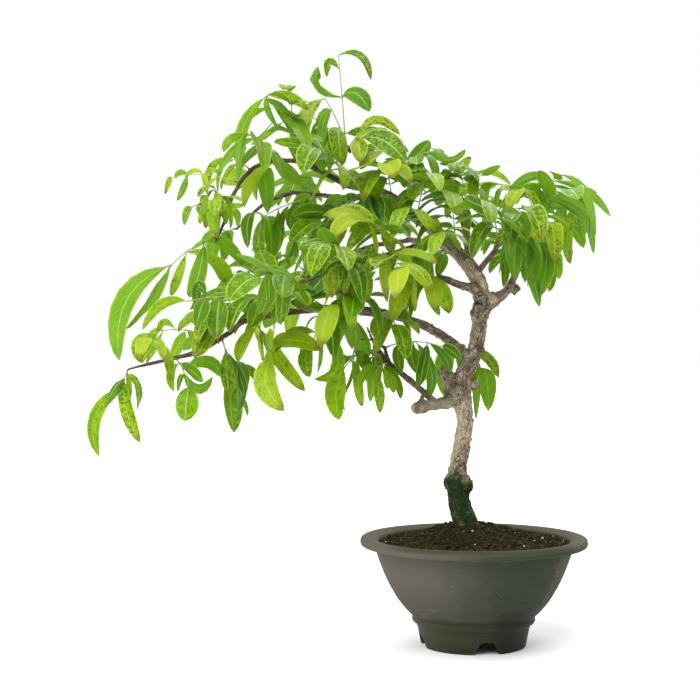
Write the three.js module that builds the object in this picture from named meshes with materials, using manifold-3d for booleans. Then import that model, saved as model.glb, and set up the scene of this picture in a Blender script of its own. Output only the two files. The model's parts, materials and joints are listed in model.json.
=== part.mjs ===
// A Japanese wisteria grown as a bonsai, in a round training pot.
// Millimetres, +Z up. The front faces -Y, and +X is to the right of someone looking at the front.
// The pot, its drainage mesh, the soil, the tree's wood and each compound leaf are separate solids.

import * as THREE from 'three';
import { mergeVertices } from 'three/addons/utils/BufferGeometryUtils.js';
import Module from 'manifold-3d';

const wasm = await Module();
wasm.setup();

// Driving dimensions
const GAP = 0.3;
const ROUND_SEGMENTS = 36;

const RIM_RADIUS = 100;
const POT_HEIGHT = 95.4;
const LIP_BOTTOM = 87.3;
const LIP_ROOT_RADIUS = 89;
const MOUTH_RADIUS = 84;
const BELLY = { height: 52, outerRadius: 74, innerRadius: 67 };
const FOOT_RADIUS = 46;
const FOOT_WALL = 8;
const FOOT_TOP = 15.5;
const MOULDING_RADIUS = 56;
const MOULDING_TOP = 27;
const FLOOR_UNDERSIDE = 12;
const FLOOR_TOP = 21;
const FLOOR_RADIUS = 44;
const FLOOR_CORNER_RADIUS = 51;
const DRAIN_RADIUS = 12;
const NOTCH_COUNT = 4;
const NOTCH_FIRST_DEG = 12.5;
const NOTCH_WIDTH = 23.5;
const NOTCH_TOP_WIDTH = 9;
const NOTCH_HEIGHT = 11;

const MESH_SIZE = 46;
const MESH_THICKNESS = 1.2;
const MESH_HOLE = 7;
const MESH_PITCH = 10;
const MESH_HOLES_A_SIDE = 4;
const WIRE_RADIUS = 0.75;
const WIRE_HALF_WIDTH = 6;
const WIRE_FOOT = 17;

const SOIL_EDGE = 89.6;
const SOIL_PEAK = 104.5;
const SOIL_SHOULDER = { radius: 56, height: 94.5 };
const SOIL_ROUGHNESS = 0.8;

const TRUNK_FOOT_X = -5;
const ROOT_COUNT = 5;
const ROOT_REACH = 46;
const ROOT_RADIUS = 4.6;
const ROOT_TOP = 92;
const ROOT_DEPTH = 34;

const STALK_RADIUS = 0.85;
const STALK_TAPER = { foot: 1.15, tip: 0.7 };
const STALK_ARCH = 0.16;
const STALK_STRETCH = 2;
const FIRST_PAIR = 0.3;
const LAST_PAIR = 0.93;
const LEAF_LEAN = 1.1;
const CROWN_MIDDLE = { x: -90, y: 55 };
const CROWN_REACH = { x: 150, y: 50 };
const LEAFLET_WIDTH = 0.42;
const LEAFLET_FOLD = 0.16;
const LEAFLET_SHOULDER = 0.42;
const LEAFLET_REACH = 0.93;
const END_LEAFLET = 1.2;
// How far leaflets point along their stalk, at its foot and at its tip, for one that points sideways
const LEAFLET_FORWARD = { foot: 0.55, tip: 1.15 };
const LEAFLET_RISE = 0.2;
// How far a leaflet strays from its even place: the end one, one in a pair, and more for each try
const STRAY = { end: 0.4, pair: 0.9, more: 0.05 };
const LEAFLET_TRIES = 30;
const STALK_TRIES = 80;
const STALK_STRAY = 0.6;
// Where along a leaflet its two rings lie, and how full it is there
const LEAFLET_STATIONS = [[0.33, 1], [0.68, 0.78]];

// Where the front is looked at from, measured from the pot's axis at the ground. Places on the tree are
// given as seen from there: how far right and up a point appears in the upright plane through the pot's
// axis, and how deep it lies behind that plane.
const EYE = { right: -108.6, up: 259.2, distance: 1233 };

function seen(right, up, depth) {
  const spread = 1 + depth / EYE.distance;
  return new THREE.Vector3(
    EYE.right + (right - EYE.right) * spread,
    depth,
    EYE.up + (up - EYE.up) * spread,
  );
}

// Limbs and branches, from the soil upwards: [right, up, depth, radius] for each point
const WOOD = {
  trunk: [
    [-4, 50, 0, 5],
    [-5, 70, 0, 9],
    [-5, 90, 0, 12],
    [-6, 104, 0, 11.4],
    [-10, 116, 1, 9.6],
    [-13, 130, 3, 9.3],
    [-13, 143, 4, 11.6],
    [-13.5, 155, 4, 7.4],
    [-11, 170, 3, 7.8],
    [-8, 188, 1, 7.2],
    [-8, 203, -1, 7.4],
    [-11, 218, -2, 10],
    [-11, 232, -1, 8.4],
    [-4, 245, 2, 7.3],
    [2, 262, 5, 6.8],
    [5, 276, 7, 6.8],
    [6, 288, 8, 7.4],
    [11, 302, 9, 8.6],
  ],
  left_limb: [
    [9, 298, 9, 8],
    [5, 320, 11, 7.4],
    [-4, 334, 13, 6.6],
    [-15, 346, 15, 5.8],
    [-29, 360, 17, 5.3],
    [-43, 370, 18, 5],
    [-56, 379, 18, 4.8],
    [-70, 392, 16, 4.7],
    [-82, 398, 13, 4.5],
    [-93, 397, 10, 3.4],
  ],
  arching_branch: [
    [-80, 397, 13, 3.6],
    [-95, 401, 6, 3.2],
    [-111, 404, -2, 2.9],
    [-129, 414, -10, 2.7],
    [-147, 423, -17, 2.5],
    [-158, 426, -22, 2.4],
    [-179, 426, -30, 2.2],
    [-193, 420, -35, 2.1],
    [-204, 409, -38, 2],
    [-213, 393, -40, 1.9],
    [-218, 375, -41, 1.7],
    [-227, 354, -42, 1.3],
  ],
  second_branch: [
    [-76, 395, 15, 3.2],
    [-104, 393, 26, 2.8],
    [-122, 394, 33, 2.6],
    [-138, 396, 39, 2.4],
    [-158, 398, 46, 2.2],
    [-181, 391, 53, 2],
    [-195, 379, 58, 1.7],
    [-209, 365, 61, 1.2],
  ],
  crown_branch: [
    [-3, 333, 14, 4.6],
    [-6, 361, 26, 3.7],
    [-9, 390, 34, 3.2],
    [-22, 402, 38, 2.9],
    [-43, 406, 40, 2.6],
    [-69, 414, 38, 2.4],
    [-89, 425, 33, 2.1],
    [-109, 435, 26, 1.6],
    [-115, 446, 24, 1.1],
  ],
  low_branch: [
    [-5, 252, 4, 5.2],
    [-13, 260, 0, 4.6],
    [-26, 271, -6, 4.2],
    [-43, 281, -13, 3.9],
    [-58, 286, -19, 3.6],
    [-78, 292, -27, 3.4],
    [-99, 295, -34, 3.2],
    [-120, 297, -40, 3],
    [-138, 295, -44, 2.9],
    [-172, 291, -50, 2.7],
    [-190, 287, -52, 2.6],
    [-204, 284, -53, 2.5],
    [-214, 275, -54, 2.4],
    [-225, 268, -54, 2.3],
    [-242, 257, -53, 2.1],
    [-268, 251, -50, 1.8],
    [-289, 246, -46, 1.5],
    [-305, 242, -42, 1.1],
  ],
  short_branch: [
    [9, 309, 9, 5.2],
    [-1, 314, 2, 4.2],
    [-11, 316, -6, 3.6],
    [-23, 321, -14, 3],
    [-31, 324, -20, 2],
  ],
  right_limb: [
    [9, 298, 9, 6.8],
    [19, 304, 12, 5.6],
    [26, 308, 14, 4.8],
    [30, 312, 16, 3.9],
    [35, 321, 20, 3.5],
    [38, 329, 24, 3.2],
    [43, 337, 28, 3],
    [45, 346, 31, 2.5],
    [48, 366, 36, 2],
    [52, 384, 40, 1.6],
    [60, 398, 43, 1.2],
  ],
  cut_stub: [
    [-8, 219, -1, 7.5],
    [-24, 213, -10, 5.8],
    [-37, 210.5, -17, 5.3],
    [-51, 208, -23, 5.6],
  ],
  stub_branch: [
    [-33, 212, -14, 3.8],
    [-41, 220, -10, 3.5],
    [-53, 230, -4, 3.2],
    [-65, 240, 2, 3],
    [-73, 246, 6, 2.8],
    [-90, 258, 12, 2.2],
    [-104, 266, 18, 1.4],
  ],
  stub_twig: [
    [-74, 247, 7, 2.2],
    [-78, 261, 2, 1.7],
    [-87, 268, -3, 1.4],
    [-101, 269, -8, 1.1],
  ],
  thin_twig: [
    [-76, 251, 8, 1.8],
    [-87, 264, 15, 1.5],
    [-94, 280, 20, 1.1],
  ],
  trunk_spur: [
    [5, 280, 5, 4.4],
    [1.5, 291, 0, 4.4],
    [4, 302, -2, 4],
  ],
  rear_limb: [
    [-13, 344, 15, 4.6],
    [-30, 352, 50, 3.4],
    [-55, 356, 85, 2.8],
    [-85, 352, 110, 2.3],
    [-120, 342, 125, 1.7],
    [-150, 330, 132, 1.2],
  ],
  rear_right_branch: [
    [37, 327, 23, 3],
    [45, 342, 50, 2.4],
    [50, 352, 78, 1.9],
    [48, 358, 102, 1.3],
  ],
  front_limb: [
    [-27, 358, 17, 4.2],
    [-45, 352, -15, 3.2],
    [-68, 345, -45, 2.7],
    [-95, 338, -70, 2.2],
    [-125, 330, -88, 1.6],
    [-150, 318, -98, 1.2],
  ],
  front_right_branch: [
    [2, 325, 12, 3.6],
    [12, 338, -20, 2.6],
    [20, 348, -45, 2.1],
    [22, 354, -68, 1.3],
  ],
  low_rear_branch: [
    [-56, 286, -18, 3],
    [-85, 290, 15, 2.4],
    [-112, 293, 38, 1.9],
    [-134, 292, 52, 1.3],
  ],
};

// Old pruning scars and swellings: [right, up, depth, radius, stretch along the wood]
const KNOTS = [
  [-24, 235, -4, 5.6, 1.3],
  [2, 226, -1, 4.6, 1.5],
  [-12, 222, -4, 9.5, 1],
  [38, 313, 10, 4.8, 1.2],
  [-45, 217, -17, 2.4, 1.4],
  [13, 303, 6, 8.6, 1],
];

// Compound leaves. from: where the stalk leaves the named branch, right and up as seen. to: where the
// stalk ends, right, up and depth. length: of a leaflet. hang: how far the leaflets point down, in
// degrees. turn: the heading, in degrees from +X, where it isn't the stalk's own. end: the length of
// the leaflet at the stalk's end, and slim: its share of the usual width, where they differ.
const LEAVES = [
  // the top sprig and the crown
  { on: 'crown_branch', from: [-113, 441], to: [-119, 519, 16], pairs: 2, length: 39, hang: 22, turn: -50 },
  { on: 'crown_branch', from: [-109, 437], to: [-98, 446, -24],
    pairs: 2, length: 38, hang: 30, end: 58, turn: -20 },
  { on: 'crown_branch', from: [-112, 439], to: [-131, 481, 4], pairs: 2, length: 50, hang: 52, turn: -150 },
  { on: 'crown_branch', from: [-72, 415], to: [-36, 434, 12], pairs: 4, length: 34, hang: 32 },
  { on: 'crown_branch', from: [-8, 378], to: [-62, 434, 56], pairs: 4, length: 38, hang: 35 },
  { on: 'crown_branch', from: [-30, 403], to: [8, 413, 0], pairs: 4, length: 32, hang: 15 },
  // the right side
  { on: 'right_limb', from: [59, 396], to: [-4, 403, 62], pairs: 4, length: 34, hang: 38 },
  { on: 'right_limb', from: [56, 392], to: [76, 413, 24], pairs: 4, length: 42, hang: 36, end: 54 },
  { on: 'right_limb', from: [48, 368], to: [78, 398, -12], pairs: 4, length: 42, hang: 30 },
  { on: 'right_limb', from: [60, 398], to: [96, 384, 70], pairs: 4, length: 38, hang: 58 },
  { on: 'front_right_branch', from: [12, 338], to: [60, 350, -30], pairs: 3, length: 48, hang: 68 },
  { on: 'right_limb', from: [40, 332], to: [34, 358, -10], pairs: 3, length: 42, hang: 70 },
  { on: 'rear_right_branch', from: [48, 350], to: [84, 378, 108], pairs: 4, length: 40, hang: 44 },
  { on: 'rear_right_branch', from: [48, 358], to: [22, 390, 140], pairs: 5, length: 38, hang: 42 },
  { on: 'front_right_branch', from: [16, 343], to: [42, 384, -66], pairs: 4, length: 40, hang: 48 },
  { on: 'front_right_branch', from: [22, 353], to: [16, 388, -106], pairs: 5, length: 38, hang: 42 },
  // above the left limb
  { on: 'left_limb', from: [-15, 346], to: [-20, 398, -28], pairs: 4, length: 42, hang: 42 },
  { on: 'left_limb', from: [-50, 375], to: [-40, 414, -34], pairs: 5, length: 40, hang: 35 },
  { on: 'left_limb', from: [-72, 393], to: [-78, 422, -42], pairs: 5, length: 40, hang: 38 },
  { on: 'left_limb', from: [-8, 338], to: [-62, 344, -26], pairs: 4, length: 32, hang: 66 },
  { on: 'short_branch', from: [-29, 323], to: [-54, 318, -46], pairs: 4, length: 40, hang: 56 },
  // the arching branch at the upper left
  { on: 'arching_branch', from: [-150, 424], to: [-182, 483, -20],
    pairs: 3, length: 52, hang: 60, turn: -110 },
  { on: 'arching_branch', from: [-176, 426], to: [-200, 450, -70], pairs: 4, length: 40, hang: 46 },
  { on: 'arching_branch', from: [-108, 403], to: [-136, 436, -52], pairs: 4, length: 42, hang: 40 },
  { on: 'arching_branch', from: [-206, 406], to: [-266, 411, -30], pairs: 3, length: 17, hang: 45 },
  { on: 'arching_branch', from: [-214, 390], to: [-248, 385, -66], pairs: 4, length: 24, hang: 45 },
  { on: 'arching_branch', from: [-196, 418], to: [-224, 428, -2], pairs: 3, length: 32, hang: 55 },
  { on: 'arching_branch', from: [-170, 427], to: [-198, 404, 6], pairs: 4, length: 38, hang: 50 },
  { on: 'arching_branch', from: [-225, 358], to: [-266, 334, -56],
    pairs: 2, length: 54, hang: 64, turn: 180,
    end: 104, slim: 0.6 },
  { on: 'arching_branch', from: [-218, 375], to: [-226, 392, -92], pairs: 4, length: 30, hang: 50 },
  // the second branch, behind it
  { on: 'second_branch', from: [-122, 394], to: [-184, 377, 14], pairs: 4, length: 42, hang: 70 },
  { on: 'second_branch', from: [-100, 393], to: [-130, 370, -8], pairs: 4, length: 42, hang: 50 },
  { on: 'second_branch', from: [-160, 398], to: [-150, 414, 104], pairs: 5, length: 38, hang: 45 },
  { on: 'second_branch', from: [-208, 366], to: [-236, 352, 80], pairs: 4, length: 32, hang: 50 },
  // the low branch
  { on: 'low_branch', from: [-155, 294], to: [-252, 302, -84], pairs: 5, length: 42, hang: 30 },
  { on: 'low_branch', from: [-130, 296], to: [-214, 326, -34], pairs: 5, length: 41, hang: 32 },
  { on: 'low_branch', from: [-225, 268], to: [-284, 274, -18], pairs: 4, length: 38, hang: 45 },
  { on: 'low_branch', from: [-303, 242], to: [-309, 228, -52],
    pairs: 2, length: 52, hang: 80, end: 70, slim: 0.6 },
  { on: 'low_branch', from: [-262, 252], to: [-250, 228, -76], pairs: 3, length: 42, hang: 70 },
  { on: 'low_branch', from: [-222, 270], to: [-209, 222, -26], pairs: 3, length: 46, hang: 74 },
  { on: 'low_branch', from: [-196, 286], to: [-176, 254, -88], pairs: 4, length: 44, hang: 58 },
  { on: 'low_branch', from: [-99, 295], to: [-104, 306, -96], pairs: 4, length: 44, hang: 40 },
  { on: 'low_branch', from: [-122, 297], to: [-142, 266, -66], pairs: 4, length: 47, hang: 42 },
  { on: 'low_rear_branch', from: [-132, 292], to: [-196, 296, 78], pairs: 5, length: 42, hang: 45 },
  // the low middle
  { on: 'stub_branch', from: [-92, 259], to: [-113, 244, -22], pairs: 3, length: 44, hang: 74 },
  { on: 'stub_branch', from: [-75, 247], to: [-86, 240, -26], pairs: 2, length: 32, hang: 70, turn: -110 },
  { on: 'stub_twig', from: [-78, 261], to: [-28, 262, -40], pairs: 3, length: 43, hang: 66 },
  { on: 'low_branch', from: [-14, 261], to: [2, 250, 34], pairs: 2, length: 44, hang: 72 },
  // the middle of the crown, towards the front
  { on: 'front_limb', from: [-80, 342], to: [-66, 330, -118], pairs: 4, length: 42, hang: 36 },
  { on: 'front_limb', from: [-110, 334], to: [-128, 352, -140], pairs: 5, length: 40, hang: 38 },
  { on: 'front_limb', from: [-92, 339], to: [-142, 324, -66], pairs: 5, length: 42, hang: 40 },
  { on: 'front_limb', from: [-149, 319], to: [-186, 322, -136], pairs: 5, length: 40, hang: 38 },
  { on: 'front_limb', from: [-60, 348], to: [-98, 372, -84], pairs: 5, length: 40, hang: 34 },
  // the rear of the crown
  { on: 'rear_limb', from: [-70, 355], to: [-80, 390, 146], pairs: 5, length: 42, hang: 45 },
  { on: 'rear_limb', from: [-120, 342], to: [-158, 360, 158], pairs: 5, length: 42, hang: 45 },
];

// Solids

function toSolid(geometry) {
  const bare = geometry.clone();
  bare.deleteAttribute('normal');
  bare.deleteAttribute('uv');
  const merged = mergeVertices(bare, 1e-4);
  return new wasm.Manifold(new wasm.Mesh({
    numProp: 3,
    vertProperties: new Float32Array(merged.attributes.position.array),
    triVerts: new Uint32Array(merged.index.array),
  }));
}

function toGeometry(solid) {
  const mesh = solid.getMesh();
  const geometry = new THREE.BufferGeometry();
  geometry.setAttribute('position', new THREE.BufferAttribute(mesh.vertProperties, 3));
  geometry.setIndex(new THREE.BufferAttribute(mesh.triVerts, 1));
  geometry.computeVertexNormals();
  return geometry;
}

function join(solids) {
  return wasm.Manifold.union(solids);
}

function largestPiece(solid) {
  const pieces = solid.decompose();
  pieces.sort((a, b) => b.volume() - a.volume());
  return pieces[0];
}

// Rings run anticlockwise as seen from the end that they lead to. facets left out stay open: the wall's
// facets are numbered two to a side.
function addWall(corners, lower, upper, leftOut = []) {
  lower.forEach((point, i) => {
    const j = (i + 1) % lower.length;
    [[point, lower[j], upper[j]], [point, upper[j], upper[i]]].forEach((facet, half) => {
      if (new Set(facet).size === 3 && !leftOut.includes(2 * i + half)) {
        corners.push(...facet);
      }
    });
  });
}

function addCap(corners, ring) {
  for (let i = 1; i + 1 < ring.length; i += 1) {
    corners.push(ring[0], ring[i], ring[i + 1]);
  }
}

// A closed body through a row of rings that all have the same number of points
function throughRings(rings) {
  const corners = [];
  addCap(corners, [...rings[0]].reverse());
  for (let k = 0; k + 1 < rings.length; k += 1) {
    addWall(corners, rings[k], rings[k + 1]);
  }
  if (new Set(rings.at(-1)).size > 1) {
    addCap(corners, rings.at(-1));
  }
  return new THREE.BufferGeometry().setFromPoints(corners);
}

// A round bar along a smooth curve through the points, with its own radius at each of them
function taperedBar(points, radii, sides, stepsPerPoint) {
  const curve = new THREE.CatmullRomCurve3(points, false, 'centripetal');
  const spans = points.length - 1;
  const steps = spans * stepsPerPoint;
  const normal = new THREE.Vector3(0, 1, 0);
  const rings = [];
  for (let k = 0; k <= steps; k += 1) {
    const t = k / steps;
    const centre = curve.getPoint(t);
    const along = curve.getTangent(t);
    normal.addScaledVector(along, -normal.dot(along)).normalize();
    const across = new THREE.Vector3().crossVectors(along, normal);
    const span = Math.min(Math.floor(t * spans), spans - 1);
    const radius = THREE.MathUtils.lerp(radii[span], radii[span + 1], t * spans - span);
    const ring = [];
    for (let i = 0; i < sides; i += 1) {
      const angle = (2 * Math.PI * i) / sides;
      ring.push(centre.clone()
        .addScaledVector(normal, radius * Math.cos(angle))
        .addScaledVector(across, radius * Math.sin(angle)));
    }
    rings.push(ring);
  }
  return throughRings(rings);
}

function turned(path, divisions) {
  const profile = new THREE.LatheGeometry(path.getPoints(divisions), ROUND_SEGMENTS);
  return toSolid(profile.rotateX(Math.PI / 2));
}

function box(width, depth, bottom, top) {
  return toSolid(new THREE.BoxGeometry(width, depth, top - bottom).translate(0, 0, (bottom + top) / 2));
}

// Pot

function insideWall(path, inset) {
  path.splineThru([
    new THREE.Vector2(BELLY.innerRadius - inset, BELLY.height),
    new THREE.Vector2(FLOOR_CORNER_RADIUS - inset, FLOOR_TOP + 5),
  ]);
  path.quadraticCurveTo(
    FLOOR_CORNER_RADIUS - 2 - inset,
    FLOOR_TOP + inset,
    FLOOR_RADIUS - inset,
    FLOOR_TOP + inset,
  );
}

function makePot() {
  const section = new THREE.Path();
  section.moveTo(FOOT_RADIUS - FOOT_WALL, 0);
  section.lineTo(FOOT_RADIUS, 0);
  section.lineTo(FOOT_RADIUS + 3, FOOT_TOP);
  section.quadraticCurveTo(FOOT_RADIUS + 4.4, FOOT_TOP + 3.1, MOULDING_RADIUS - 2.6, FOOT_TOP + 5.1);
  section.quadraticCurveTo(
    MOULDING_RADIUS + 0.2,
    FOOT_TOP + 7.1,
    MOULDING_RADIUS - 0.6,
    MOULDING_TOP - 0.8,
  );
  section.lineTo(MOULDING_RADIUS, MOULDING_TOP);
  section.splineThru([
    new THREE.Vector2(BELLY.outerRadius, BELLY.height),
    new THREE.Vector2(LIP_ROOT_RADIUS, LIP_BOTTOM),
  ]);
  section.lineTo(RIM_RADIUS - 3, LIP_BOTTOM);
  section.quadraticCurveTo(RIM_RADIUS + 0.2, LIP_BOTTOM, RIM_RADIUS, LIP_BOTTOM + 4);
  section.quadraticCurveTo(RIM_RADIUS, POT_HEIGHT, RIM_RADIUS - 4, POT_HEIGHT);
  section.lineTo(MOUTH_RADIUS + 2, POT_HEIGHT - 2.4);
  section.quadraticCurveTo(MOUTH_RADIUS, POT_HEIGHT - 2.8, MOUTH_RADIUS - 0.6, POT_HEIGHT - 6);
  insideWall(section, 0);
  section.lineTo(DRAIN_RADIUS, FLOOR_TOP);
  section.lineTo(DRAIN_RADIUS, FLOOR_UNDERSIDE);
  section.lineTo(FOOT_RADIUS - FOOT_WALL, FLOOR_UNDERSIDE);
  section.lineTo(FOOT_RADIUS - FOOT_WALL, 0);
  const body = turned(section, 2);

  const arch = new THREE.Shape();
  arch.moveTo(-NOTCH_WIDTH / 2, -1);
  arch.lineTo(NOTCH_WIDTH / 2, -1);
  arch.quadraticCurveTo(NOTCH_TOP_WIDTH / 2 + 4, NOTCH_HEIGHT - 1.5, NOTCH_TOP_WIDTH / 2, NOTCH_HEIGHT);
  arch.lineTo(-NOTCH_TOP_WIDTH / 2, NOTCH_HEIGHT);
  arch.quadraticCurveTo(-NOTCH_TOP_WIDTH / 2 - 4, NOTCH_HEIGHT - 1.5, -NOTCH_WIDTH / 2, -1);
  const notches = [];
  for (let i = 0; i < NOTCH_COUNT; i += 1) {
    const cutter = new THREE.ExtrudeGeometry(arch, {
      depth: 3 * FOOT_WALL,
      bevelEnabled: false,
      curveSegments: 3,
    });
    cutter.rotateX(Math.PI / 2);
    cutter.translate(0, 2 * FOOT_WALL - (FOOT_RADIUS + 2), 0);
    cutter.rotateZ(THREE.MathUtils.degToRad(NOTCH_FIRST_DEG + (360 / NOTCH_COUNT) * i));
    notches.push(toSolid(cutter));
  }
  return body.subtract(join(notches));
}

// The plastic mesh over the drain hole, and the wire staple that holds it there

function makeDrainageMesh() {
  const bottom = FLOOR_TOP + GAP;
  const firstHole = -(MESH_PITCH * (MESH_HOLES_A_SIDE - 1)) / 2;
  const holes = [];
  for (let i = 0; i < MESH_HOLES_A_SIDE; i += 1) {
    for (let j = 0; j < MESH_HOLES_A_SIDE; j += 1) {
      const hole = box(MESH_HOLE, MESH_HOLE, bottom - 1, bottom + MESH_THICKNESS + 1);
      holes.push(hole.translate(firstHole + MESH_PITCH * i, firstHole + MESH_PITCH * j, 0));
    }
  }
  return box(MESH_SIZE, MESH_SIZE, bottom, bottom + MESH_THICKNESS).subtract(join(holes));
}

const WIRE_TOP = FLOOR_TOP + MESH_THICKNESS + 2 * GAP + WIRE_RADIUS;
const WIRE_BOTTOM = FLOOR_UNDERSIDE - GAP - WIRE_RADIUS;

function makeMeshWire() {
  const route = new THREE.CurvePath();
  const corners = [
    [-WIRE_FOOT, WIRE_BOTTOM],
    [-WIRE_HALF_WIDTH, WIRE_BOTTOM],
    [-WIRE_HALF_WIDTH, WIRE_TOP],
    [WIRE_HALF_WIDTH, WIRE_TOP],
    [WIRE_HALF_WIDTH, WIRE_BOTTOM],
    [WIRE_FOOT, WIRE_BOTTOM],
  ].map(([x, z]) => new THREE.Vector3(x, MESH_PITCH / 2, z));
  for (let i = 0; i + 1 < corners.length; i += 1) {
    route.add(new THREE.LineCurve3(corners[i], corners[i + 1]));
  }
  const bars = route.curves.map((line) => {
    const along = line.v2.clone().sub(line.v1).normalize().multiplyScalar(WIRE_RADIUS * 0.7);
    const points = [line.v1.clone().sub(along), line.v2.clone().add(along)];
    return toSolid(taperedBar(points, [WIRE_RADIUS, WIRE_RADIUS], 6, 1));
  });
  return join(bars);
}

// Wood

function woodBars(extra) {
  return Object.values(WOOD).map((route) => {
    const points = route.map(([right, up, depth]) => seen(right, up, depth));
    const radii = route.map((point) => point[3] + extra);
    const thickest = Math.max(...radii);
    const sides = thickest > 9 ? 10 : thickest > 5 ? 8 : 6;
    return toSolid(taperedBar(points, radii, sides, thickest > 9 ? 2 : 1));
  });
}

function woodKnots(extra) {
  return KNOTS.map(([right, up, depth, radius, stretch]) => {
    const ball = new THREE.IcosahedronGeometry(radius + extra, 1).scale(1, 1, stretch);
    const centre = seen(right, up, depth);
    return toSolid(ball.translate(centre.x, centre.y, centre.z));
  });
}

function woodRoots(extra) {
  const roots = [];
  for (let i = 0; i < ROOT_COUNT; i += 1) {
    const angle = (2 * Math.PI * (i + 0.3 * Math.sin(i * 5))) / ROOT_COUNT;
    const reach = ROOT_REACH * (0.85 + 0.15 * Math.cos(i * 3));
    const points = [0, 0.35, 0.7, 1].map((t) => new THREE.Vector3(
      TRUNK_FOOT_X + Math.cos(angle) * reach * t,
      Math.sin(angle) * reach * t,
      ROOT_TOP - ROOT_DEPTH * t * (0.24 + 0.76 * t),
    ));
    const radii = [1.3, 1, 0.7, 0.35].map((share) => ROOT_RADIUS * share + extra);
    roots.push(toSolid(taperedBar(points, radii, 6, 1)));
  }
  return roots;
}

// Soil: a mound that fills the bowl, moulded round the trunk, the roots and the drainage mesh

function makeSoil(grownWood) {
  const section = new THREE.Path();
  const inset = GAP + 0.1;
  section.moveTo(0, SOIL_PEAK);
  section.quadraticCurveTo(
    SOIL_SHOULDER.radius / 2,
    SOIL_PEAK - 1.5,
    SOIL_SHOULDER.radius,
    SOIL_SHOULDER.height,
  );
  section.quadraticCurveTo(
    SOIL_SHOULDER.radius + 16,
    SOIL_EDGE + 0.8,
    MOUTH_RADIUS - 0.6 - inset,
    SOIL_EDGE - 0.4,
  );
  insideWall(section, inset);
  section.lineTo(0, FLOOR_TOP + inset);
  const profile = new THREE.LatheGeometry(section.getPoints(2).reverse(), ROUND_SEGMENTS);
  profile.rotateX(Math.PI / 2);
  const position = profile.attributes.position;
  for (let i = 0; i < position.count; i += 1) {
    const [x, y, z] = [position.getX(i), position.getY(i), position.getZ(i)];
    const fromAxis = Math.hypot(x, y);
    const uneven = Math.sin(x / 9 + 1) * Math.cos(y / 7) + 0.6 * Math.sin((x + 2 * y) / 11);
    if (z > SOIL_EDGE && fromAxis > 1 && fromAxis < MOUTH_RADIUS - 3) {
      position.setZ(i, z + SOIL_ROUGHNESS * uneven);
    }
  }
  const meshPocket = box(MESH_SIZE + 2 * GAP, MESH_SIZE + 2 * GAP, 0, FLOOR_TOP + MESH_THICKNESS + 2 * GAP);
  const wirePocket = box(
    2 * (WIRE_HALF_WIDTH + WIRE_RADIUS + GAP),
    2 * (WIRE_RADIUS + GAP),
    0,
    WIRE_TOP + WIRE_RADIUS + GAP,
  ).translate(0, MESH_PITCH / 2, 0);
  return toSolid(profile).subtract(join([meshPocket, wirePocket, grownWood]));
}

// Leaves

// The same numbers on every run, between 0 and 1
function numbersFrom(seed) {
  let state = seed;
  return () => {
    state = (state + 0x6d2b79f5) | 0;
    let mixed = Math.imul(state ^ (state >>> 15), 1 | state);
    mixed = (mixed + Math.imul(mixed ^ (mixed >>> 7), 61 | mixed)) ^ mixed;
    return ((mixed ^ (mixed >>> 14)) >>> 0) / 4294967296;
  };
}

const UP = new THREE.Vector3(0, 0, 1);

function nearestOnBranch(name, [right, up]) {
  const points = WOOD[name].map(([r, u, d]) => seen(r, u, d));
  const curve = new THREE.CatmullRomCurve3(points, false, 'centripetal');
  let best = null;
  for (const point of curve.getPoints(200)) {
    const spread = 1 + point.y / EYE.distance;
    const seenRight = EYE.right + (point.x - EYE.right) / spread;
    const seenUp = EYE.up + (point.z - EYE.up) / spread;
    const distance = Math.hypot(seenRight - right, seenUp - up);
    if (best === null || distance < best.distance) {
      best = { distance, point };
    }
  }
  return best.point;
}

function obstacle(solid) {
  return { solid, bounds: solid.boundingBox() };
}

function boxesMeet(a, b, margin) {
  return [0, 1, 2].every((i) => a.min[i] - margin < b.max[i] && b.min[i] - margin < a.max[i]);
}

function isClear(solid, others) {
  const own = solid.boundingBox();
  return others.every((other) => !boxesMeet(own, other.bounds, GAP)
    || solid.minGap(other.solid, 2 * GAP) >= GAP);
}

// Leaves turn their upper side to the light, so it leans away from the middle of the crown
function leaningUp(place) {
  const { clamp } = THREE.MathUtils;
  return new THREE.Vector3(
    0.5 * LEAF_LEAN * clamp((place.x - CROWN_MIDDLE.x) / CROWN_REACH.x, -1, 1),
    LEAF_LEAN * clamp((place.y - CROWN_MIDDLE.y) / CROWN_REACH.y, -1, 1),
    1,
  ).normalize();
}

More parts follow.
